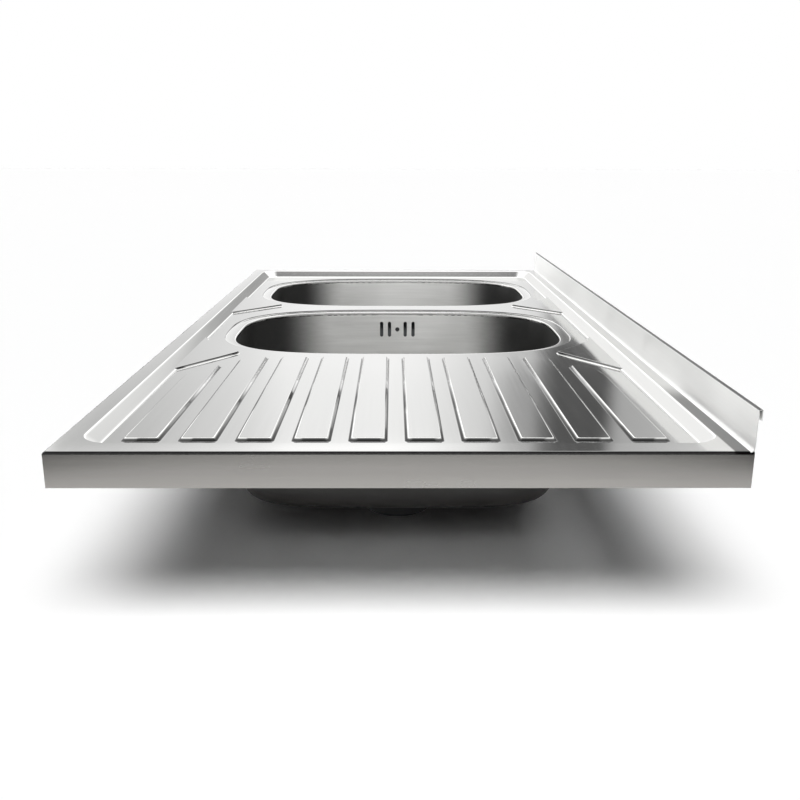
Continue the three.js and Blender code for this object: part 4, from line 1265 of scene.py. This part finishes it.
def steel(name, colour, roughness, grain, grain_depth, wave_depth, tone=0.02, fineness=260.0, film=None):
    """Rolled or brushed stainless steel: grain along one axis, soft smudges, a slight wave, and painted
    highlights and painted shade from the mesh.
    """
    material, tree, shader = node_material(name)
    shader.inputs["Metallic"].default_value = 1.0
    streaks = noise(tree, fineness, 3.0, grain)
    smudges = noise(tree, 9.0, 5.0)
    # Painted highlights and painted shade along folds, ribs and lips, kept on the mesh by point.
    painted_light = wired(tree, "ShaderNodeAttribute", "Fac", attribute_name="painted_light")
    shade = math_node(tree, "MULTIPLY_ADD", painted_light, PAINTED_LIGHT_SHARE, spread(tree, streaks, 1 - tone, 1 + tone))
    tinted(tree, shader, colour, film(tree, shade) if film else shade)
    roughened(tree, shader, spread(tree, smudges, roughness * 0.85, roughness * 1.1),
              spread(tree, streaks, -0.02, 0.02))
    bumped(tree, shader, (noise(tree, 5.0, 1.0), wave_depth), (streaks, grain_depth))
    return material


def polished(name):
    """Buffed steel with fine turning lines, faint water marks and a few rubbed patches."""
    material, tree, shader = node_material(name)
    shader.inputs["Metallic"].default_value = 1.0
    marks = noise(tree, 60.0, 6.0)
    lines = noise(tree, 900.0, 2.0, (1, 1, 0.2))
    tinted(tree, shader, (0.66, 0.66, 0.65), spread(tree, marks, 0.93, 1.03))
    roughened(tree, shader, spread(tree, marks, 0.12, 0.26), spread(tree, lines, -0.03, 0.03))
    bumped(tree, shader, (lines, 0.000004))
    return material


def galvanised(name):
    """Zinc-coated steel with its spangle of dull crystals."""
    material, tree, shader = node_material(name)
    shader.inputs["Metallic"].default_value = 1.0
    crystals = wired(tree, "ShaderNodeTexVoronoi", "Color", {"Vector": object_place(tree), "Scale": 140.0})
    grey = wired(tree, "ShaderNodeRGBToBW", "Val", {"Color": crystals})
    tinted(tree, shader, (0.5, 0.52, 0.53), spread(tree, grey, 0.82, 1.06))
    roughened(tree, shader, spread(tree, grey, 0.36, 0.5), spread(tree, noise(tree, 30.0, 4.0), -0.04, 0.06))
    bumped(tree, shader, (noise(tree, 400.0, 3.0), 0.00002))
    return material


def moulded(name, colour, roughness, specular, grain_scale, grain_depth):
    """Moulded plastic or rubber: a fine spark-eroded grain, uneven sheen and settled dust."""
    material, tree, shader = node_material(name)
    shader.inputs["Specular IOR Level"].default_value = specular
    clouds = noise(tree, 14.0, 5.0)
    grain = noise(tree, grain_scale, 2.0)
    dust = math_node(tree, "ADD", spread(tree, clouds, 0.9, 1.05), spread(tree, grain, -0.03, 0.03))
    tinted(tree, shader, colour, dust)
    roughened(tree, shader, spread(tree, clouds, roughness - 0.06, roughness + 0.06),
              spread(tree, grain, -0.04, 0.04))
    bumped(tree, shader, (clouds, 0.0001), (grain, grain_depth))
    return material


ALONG_X = (0.03, 1.0, 1.0)
ALONG_Y = (1.0, 0.03, 1.0)
ACROSS_APRON = (0.02, 0.02, 1.0)


def make_materials():
    """A list for each slot; the screw's own list is kept under its node."""
    return {
        "pressed_steel": [
            steel("pressed_satin_steel", (0.62, 0.62, 0.61), 0.085, ALONG_X, 0.0000001, 0.0001, 0.01, 300.0,
                  hand_film),
            # The apron: a darker, warmer copy of the pressed steel, painted shade.
            steel("apron_steel_painted_shade", (0.56, 0.545, 0.52), 0.25, ACROSS_APRON, 0.0000005, 0.00005, 0.05, 70.0),
            # The upstand: a much paler copy of the same steel, painted light.
            steel("upstand_steel_painted_light", (0.9, 0.9, 0.89), 0.48, ALONG_X, 0.0000002, 0.00001, 0.01, 300.0),
        ],
        "bowl_steel": [
            # The bowls' ends get painted shade.
            steel("brushed_bowl_steel", (0.65, 0.65, 0.64), 0.42, ALONG_Y, 0.000001, 0.00001, 0.04, 260.0,
                  painted_shade_at_ends),
            moulded("near_black_outside", (0.04, 0.038, 0.036), 0.5, 0.4, 420.0, 0.0001),
        ],
        "polished_steel": [polished("polished_steel")],
        "overflow_screw": [
            polished("screw_steel"),
            # A black head: painted shade.
            moulded("screw_head_painted_shade", (0.02, 0.02, 0.021), 0.5, 0.3, 900.0, 0.00002),
        ],
        "galvanised_steel": [galvanised("galvanised_steel")],
        "rubber": [moulded("black_rubber", (0.022, 0.022, 0.023), 0.72, 0.35, 700.0, 0.00003)],
        "grey_plastic": [moulded("grey_polypropylene", (0.075, 0.078, 0.083), 0.48, 0.45, 900.0, 0.00002)],
        "white_plastic": [moulded("white_polypropylene", (0.74, 0.735, 0.71), 0.42, 0.45, 900.0, 0.00002)],
        "damping_pad": [moulded("bitumen_sheet", (0.03, 0.029, 0.027), 0.85, 0.3, 320.0, 0.00015)],
    }


# ---- stage, lights and camera: metres and degrees -------------------------------------------------

STUDIO_WHITE = 1.0
SHADE_LEVEL = 0.06  # of the world, for diffuse rays
FLOOR_HALF = 30.0


def light_path_seen(tree):
    """1 for the rays that show the background: camera, glossy and transmission rays."""
    path = tree.nodes.new("ShaderNodeLightPath")
    seen = math_node(tree, "MAXIMUM", path.outputs["Is Camera Ray"], path.outputs["Is Glossy Ray"])
    return math_node(tree, "MAXIMUM", seen, path.outputs["Is Transmission Ray"])


def level_sheet(name, x_range, y_range, z, material):
    """A level rectangle of the stage."""
    (left, right), (near, far) = x_range, y_range
    mesh = bpy.data.meshes.new(name)
    mesh.from_pydata([(left, near, z), (right, near, z), (right, far, z), (left, far, z)], [], [(0, 1, 2, 3)])
    mesh.materials.append(material)
    return add_object(name, mesh)


def matt(name, grey):
    material, _, shader = node_material(name)
    shader.inputs["Base Color"].default_value = (grey, grey, grey, 1)
    shader.inputs["Roughness"].default_value = 1.0
    shader.inputs["Specular IOR Level"].default_value = 0.0
    return material


def make_floor():
    across = (-FLOOR_HALF, FLOOR_HALF)
    paper = matt("white_paper", 0.97)
    level_sheet("studio_floor", across, across, CAD_BOX[0][2], paper)


def hide(item, *rays):
    """Takes a piece of the stage out of sight of some kinds of ray."""
    for ray in rays:
        setattr(item, "visible_" + ray, False)


def dome_mesh(name, azimuth, elevation, distance, steps=16):
    """A patch of a dome. Azimuth runs from -X round towards the wall; an elevation past 90
    comes down again on the drainer's side."""
    points = []
    for i in range(steps + 1):
        rise = math.radians(elevation[0] + (elevation[1] - elevation[0]) * i / steps)
        for j in range(steps + 1):
            heading = math.radians(azimuth[0] + (azimuth[1] - azimuth[0]) * j / steps)
            points.append((-distance * math.cos(rise) * math.cos(heading),
                           distance * math.cos(rise) * math.sin(heading), distance * math.sin(rise)))
    faces = []
    for i in range(steps):
        for j in range(steps):
            corner = i * (steps + 1) + j
            faces.append((corner, corner + 1, corner + steps + 2, corner + steps + 1))
    mesh = bpy.data.meshes.new(name)
    mesh.from_pydata(points, [], faces)
    return mesh


def glowing(name):
    """A material that only emits, and its emission node."""
    material = bpy.data.materials.new(name)
    material.use_nodes = True
    tree = material.node_tree
    tree.nodes.clear()
    emission = tree.nodes.new("ShaderNodeEmission")
    output = tree.nodes.new("ShaderNodeOutputMaterial")
    tree.links.new(emission.outputs["Emission"], output.inputs["Surface"])
    return material, emission


def level_glow(name, level):
    material, emission = glowing(name)
    emission.inputs["Strength"].default_value = level
    return material


BACKDROP_SPAN = 40.0  # to each side of the view along the sink
BRIGHTEST = 2.0


def graded_glow(name, stops):
    """Stops give the level against azimuth, as seen from the object's origin."""
    material, emission = glowing(name)
    tree = material.node_tree
    emission.inputs["Strength"].default_value = BRIGHTEST
    x, y = (wired(tree, "ShaderNodeSeparateXYZ", axis, {"Vector": object_place(tree)}) for axis in "XY")
    heading = math_node(tree, "ARCTAN2", y, math_node(tree, "MULTIPLY", x, -1.0))
    span = math.radians(BACKDROP_SPAN)
    inputs = {"Value": heading, "From Min": -span, "From Max": span}
    shades = tree.nodes.new("ShaderNodeValToRGB")
    tree.links.new(wired(tree, "ShaderNodeMapRange", "Result", inputs), shades.inputs["Fac"])
    tree.links.new(shades.outputs["Color"], emission.inputs["Color"])
    elements = shades.color_ramp.elements
    elements.remove(elements[1])
    for angle, level in stops:
        place = (angle + BACKDROP_SPAN) / (2 * BACKDROP_SPAN)
        element = elements.new(place) if place else elements[0]
        shade = level / BRIGHTEST
        element.color = (shade, shade, shade, 1)
    return material


REFLECTIONS_ONLY = ("camera", "diffuse", "shadow", "transmission")


def add_card(name, azimuth, elevation, material, centre=(0, 0, 0), distance=7.0):
    """A studio card seen only in reflections."""
    mesh = dome_mesh(name, azimuth, elevation, distance)
    mesh.materials.append(material)
    card = add_object(name, mesh)
    card.location = centre
    hide(card, *REFLECTIONS_ONLY)


# Where the deck's reflections seem to spread from: the photograph's viewpoint mirrored in the deck.
SPREAD_PLACE = (1.303, -0.007, -0.26)


def backdrop_stops(side, strength):
    """The level is high behind the middle and low to the wall side of it. side is the level
    where the slope along the front looks."""
    stops = [
        (-40, 1.5), (-24, 1.5), (-21.5, 0.77), (-18.3, 0.79), (-15, 0.9), (-12.3, 1.0), (-9.6, 1.12),
        (-7, 1.33), (-0.3, 1.39), (2.4, 1.3), (3.7, 1.18), (6.2, 1.0), (7, (1 + side) / 2), (8, side),
        (9.1, side * 0.9), (9.9, 0.26), (10.8, 0.14), (13.9, 0.13), (14.8, 0.6), (17, 0.67), (19.7, 0.83),
        (40, 0.85),
    ]
    return [(azimuth, level * strength) for azimuth, level in stops]


# Low down the backdrop falls off to both sides; high up the dark gap fades out.
LOWER_STOPS = [
    (-40, 0.5), (-16, 0.5), (-12.5, 0.86), (-9, 0.96), (-5.5, 1.15), (4, 1.1), (8, 1.0), (9.5, 0.9),
    (10.5, 0.3), (13.5, 0.3), (15, 0.5), (40, 0.5),
]
UPPER_STOPS = [
    (-40, 1.2), (0, 1.4), (5, 1.25), (8, 1.15), (9.3, 1.05), (10, 0.6), (13, 0.5), (15, 1.0), (40, 1.1),
]


def make_cards():
    backdrops = [
        ("lower_backdrop_card", (-2, 11.5), LOWER_STOPS),
        ("low_backdrop_card", (11.5, 13), backdrop_stops(0.8, 0.9)),
        ("backdrop_card", (13, 17.6), backdrop_stops(0.56, 0.88)),
        ("high_backdrop_card", (17.6, 19.8), backdrop_stops(0.62, 1.0)),
        ("rising_backdrop_card", (19.8, 21.5), backdrop_stops(0.85, 1.05)),
        ("upper_backdrop_card", (21.5, 40), UPPER_STOPS),
    ]
    for name, elevation, stops in backdrops:
        azimuth = (-BACKDROP_SPAN, BACKDROP_SPAN)
        add_card(name, azimuth, elevation, graded_glow(name, stops), SPREAD_PLACE, 8.0)
    surroundings = [
        ("overhead_card", (-24, 24), (38, 60), 1.7),
        ("high_front_card", (-90, -24), (38, 60), 0.9),
        ("high_wall_card", (24, 90), (38, 60), 0.9),
        ("wall_side_card", (33, 140), (-5, 38), 0.6),
        ("front_left_card", (-110, -36), (10, 38), 1.1),
        ("front_left_low_card", (-110, -36), (-3, 10), 4.0),
        ("front_side_card", (-140, -110), (-5, 38), 0.8),
        ("ceiling_card", (-90, 90), (60, 110), 0.7),
        ("bowl_front_card", (-90, -60), (110, 165), 0.9),
        ("bowl_light_card", (-60, 60), (110, 165), 0.6),
        ("bowl_wall_card", (60, 90), (110, 165), 0.9),
        ("camera_side_card", (-90, 90), (165, 185), 0.9),
    ]
    for name, azimuth, elevation, level in surroundings:
        add_card(name, azimuth, elevation, level_glow(name, level))
    near_floor = [("front_floor_card", (-26, -5.7), 0.74), ("front_dark_card", (-5.7, 0), 0.02)]
    for name, elevation, level in near_floor:
        add_card(name, (110, 250), elevation, level_glow(name, level), distance=0.9)


# A dark strip overhead, along the sink, keeps the end slopes and the ribs' near faces dark.
STRIP_Z = 4.0
STRIP_X = (-2.35, 1.4)
STRIP_Y = (-2.0, 2.0)
STRIP_LEVEL = 0.3


def make_strip():
    glow = level_glow("dark_strip", STRIP_LEVEL)
    hide(level_sheet("dark_strip", STRIP_X, STRIP_Y, STRIP_Z, glow), *REFLECTIONS_ONLY)


# Flags beside the sink widen its shadow: how far they reach on the front and on the wall side.
FLAG_REACH = {"flag_front": -0.385, "flag_wall": 0.4}


def make_flags():
    for name, reach in FLAG_REACH.items():
        y_range = (math.copysign(BACK_Y * MM, reach), reach)
        flag = level_sheet(name, (-END_X * MM, END_X * MM), y_range, APRON_BOTTOM * MM, matt(name, 0.02))
        hide(flag, "camera", "diffuse", "glossy", "transmission")


def make_world():
    world = bpy.data.worlds.new("studio")
    bpy.context.scene.world = world
    world.use_nodes = True
    tree = world.node_tree
    background = tree.nodes["Background"]
    background.inputs["Color"].default_value = (1, 1, 1, 1)
    inputs = {"Value": light_path_seen(tree), "To Min": SHADE_LEVEL, "To Max": STUDIO_WHITE}
    tree.links.new(wired(tree, "ShaderNodeMapRange", "Result", inputs), background.inputs["Strength"])


KEY_AZIMUTHS = (-13, -5, 3, 11)
KEY_RISE = 41.0  # of the light seen along the sink
KEY_ANGLE = 14.0
KEY_STRENGTH = 1.16


def add_key_sun(azimuth):
    """One of a row of soft lamps on the drainer's side that together throw one shadow edge across
    the sink. Azimuth runs from +X round towards the wall."""
    name = "key_%d" % azimuth
    data = bpy.data.lights.new(name, "SUN")
    data.angle = math.radians(KEY_ANGLE)
    data.energy = KEY_STRENGTH
    heading = math.radians(azimuth)
    rise = math.atan(math.tan(math.radians(KEY_RISE)) * math.cos(heading))
    level = math.cos(rise)
    towards = Vector((level * math.cos(heading), level * math.sin(heading), math.sin(rise)))
    add_object(name, data).rotation_euler = towards.to_track_quat("Z", "Y").to_euler()


# The photograph's viewpoint: low over the drainer's end, looking along the sink.
CAMERA_PLACE = Vector((1.3028, -0.0066, 0.2415))
CAMERA_PITCH = 15.556
CAMERA_YAW = 0.447
CAMERA_ROLL = 0.144
FOCAL_PIXELS = 887.2
IMAGE_WIDTH = 800
SENSOR = 36.0  # millimetres


def make_camera():
    data = bpy.data.cameras.new("photo_view")
    data.sensor_width = SENSOR
    data.lens = FOCAL_PIXELS / IMAGE_WIDTH * SENSOR
    pitch, yaw, roll = (math.radians(a) for a in (CAMERA_PITCH, CAMERA_YAW, CAMERA_ROLL))
    ahead = Vector((-math.cos(pitch) * math.cos(yaw), math.cos(pitch) * math.sin(yaw), -math.sin(pitch)))
    right = ahead.cross(Vector((0, 0, 1))).normalized()
    up = right.cross(ahead)
    rolled_right = right * math.cos(roll) + up * math.sin(roll)
    rolled_up = up * math.cos(roll) - right * math.sin(roll)
    facing = Matrix((rolled_right, rolled_up, -ahead)).transposed().to_4x4()
    camera = add_object("photo_view", data)
    camera.matrix_world = Matrix.Translation(CAMERA_PLACE) @ facing
    bpy.context.scene.camera = camera


# ---- the pieces, each in its node's place ---------------------------------------------------------


def stand_for(piece, node, slot, materials, rides_on=BODY):
    """A piece takes a node's place, with the materials kept under the node or its slot."""
    for material in materials.get(node, materials[slot]):
        piece.data.materials.append(material)
    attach(piece, rides_on)
    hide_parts(node)


def place_piece(name, body, node, slot, materials, rides_on=BODY, sharp=35):
    """Makes a body in millimetres into a smoothed piece that stands for a node."""
    bmesh.ops.scale(body, vec=(MM, MM, MM), verts=body.verts)
    piece = add_object(name, mesh_of(body, name))
    smooth(piece, sharp)
    stand_for(piece, node, slot, materials, rides_on)


def make_sheet_and_bowls(materials):
    stand_for(make_top_sheet(), "top_sheet", "pressed_steel", materials)
    for prefix, centre in BOWL_CENTRES.items():
        bowl = make_bowl(centre)
        if prefix == "drainer":
            bowl = cut(bowl, *slot_cutters())
        place_piece(prefix + "_bowl_steel", bowl, prefix + "_bowl", "bowl_steel", materials)


def make_overflow(materials):
    top_place = [shift(HOSE_X, 0, HOSE_TOP_Z - CLIP_FROM_END)]
    bottom_place = [turn(-90, "Y"), shift(HOSE_END_X - CLIP_FROM_END, 0, HOSE_LEVEL)]
    rows = [
        ("overflow_screw_steel", overflow_screw(), "overflow_screw", "polished_steel", 35),
        ("overflow_gasket_moulding", overflow_gasket(), "overflow_gasket", "rubber", 35),
        ("overflow_box_moulding", overflow_box(), "overflow_box", "grey_plastic", 35),
        ("overflow_hose_moulding", overflow_hose(), "overflow_hose", "white_plastic", 50),
        ("worm_clip_top", moved(hose_clip(), *top_place), "hose_clip_top", "polished_steel", 35),
        ("worm_clip_bottom", moved(hose_clip(), *bottom_place), "hose_clip_bottom", "polished_steel", 35),
    ]
    for name, body, node, slot, sharp in rows:
        place_piece(name, body, node, slot, materials, sharp=sharp)


def make_wastes(materials):
    seal_bottom = RECESS_FACE + GAP
    seal_face = OUTLET_END + GAP
    for prefix, centre in BOWL_CENTRES.items():
        flange_seal = washer(WASTE_HOLE + 1, 54, seal_bottom, seal_bottom + 1, 0.4)
        body_seal = washer(WASTE_HOLE + 1, BODY_FLANGE - 1, BODY_TOP + GAP, UNDERSIDE - GAP, 0.7)
        outlet_seal = washer(OUTLET_BORE, OUTLET_RADIUS, seal_face, seal_face + SEAL_THICK)
        fixed = [
            ("flange_seal", flange_seal, "rubber"),
            ("strainer_cup", strainer_cup(), "polished_steel"),
            ("body_seal", body_seal, "rubber"),
            ("waste_body", waste_body(prefix == "drainer"), "grey_plastic"),
            ("clamp_screw", clamp_screw(), "polished_steel"),
            ("outlet_seal", along_wall_axis(outlet_seal), "rubber"),
            ("outlet_nut", outlet_nut(), "grey_plastic"),
        ]
        lifting = [
            ("stopper", stopper(), "rubber"),
            ("basket", basket(), "polished_steel"),
            ("basket_knob", basket_knob(), "grey_plastic"),
        ]
        for rides_on, rows in ((BODY, fixed), (prefix + "_strainer", lifting)):
            for name, body, slot in rows:
                node = "%s_%s" % (prefix, name)
                body = moved(body, shift(centre, 0, 0))
                place_piece(node + "_finish", body, node, slot, materials, rides_on)
        for side, place in ((-1, "front"), (1, "rear")):
            place_piece("%s_bitumen_%s" % (prefix, place), damping_pad(centre, side),
                        "%s_pad_%s" % (prefix, place), "damping_pad", materials)


def main():
    make_camera()
    make_world()
    make_floor()
    bpy.context.scene.view_settings.view_transform = "Standard"
    for azimuth in KEY_AZIMUTHS:
        add_key_sun(azimuth)
    make_cards()
    make_strip()
    make_flags()
    materials = make_materials()
    make_sheet_and_bowls(materials)
    make_overflow(materials)
    make_wastes(materials)
    place_piece("drainer_stiffener_rail", stiffener(), "drainer_stiffener", "galvanised_steel", materials)


main()
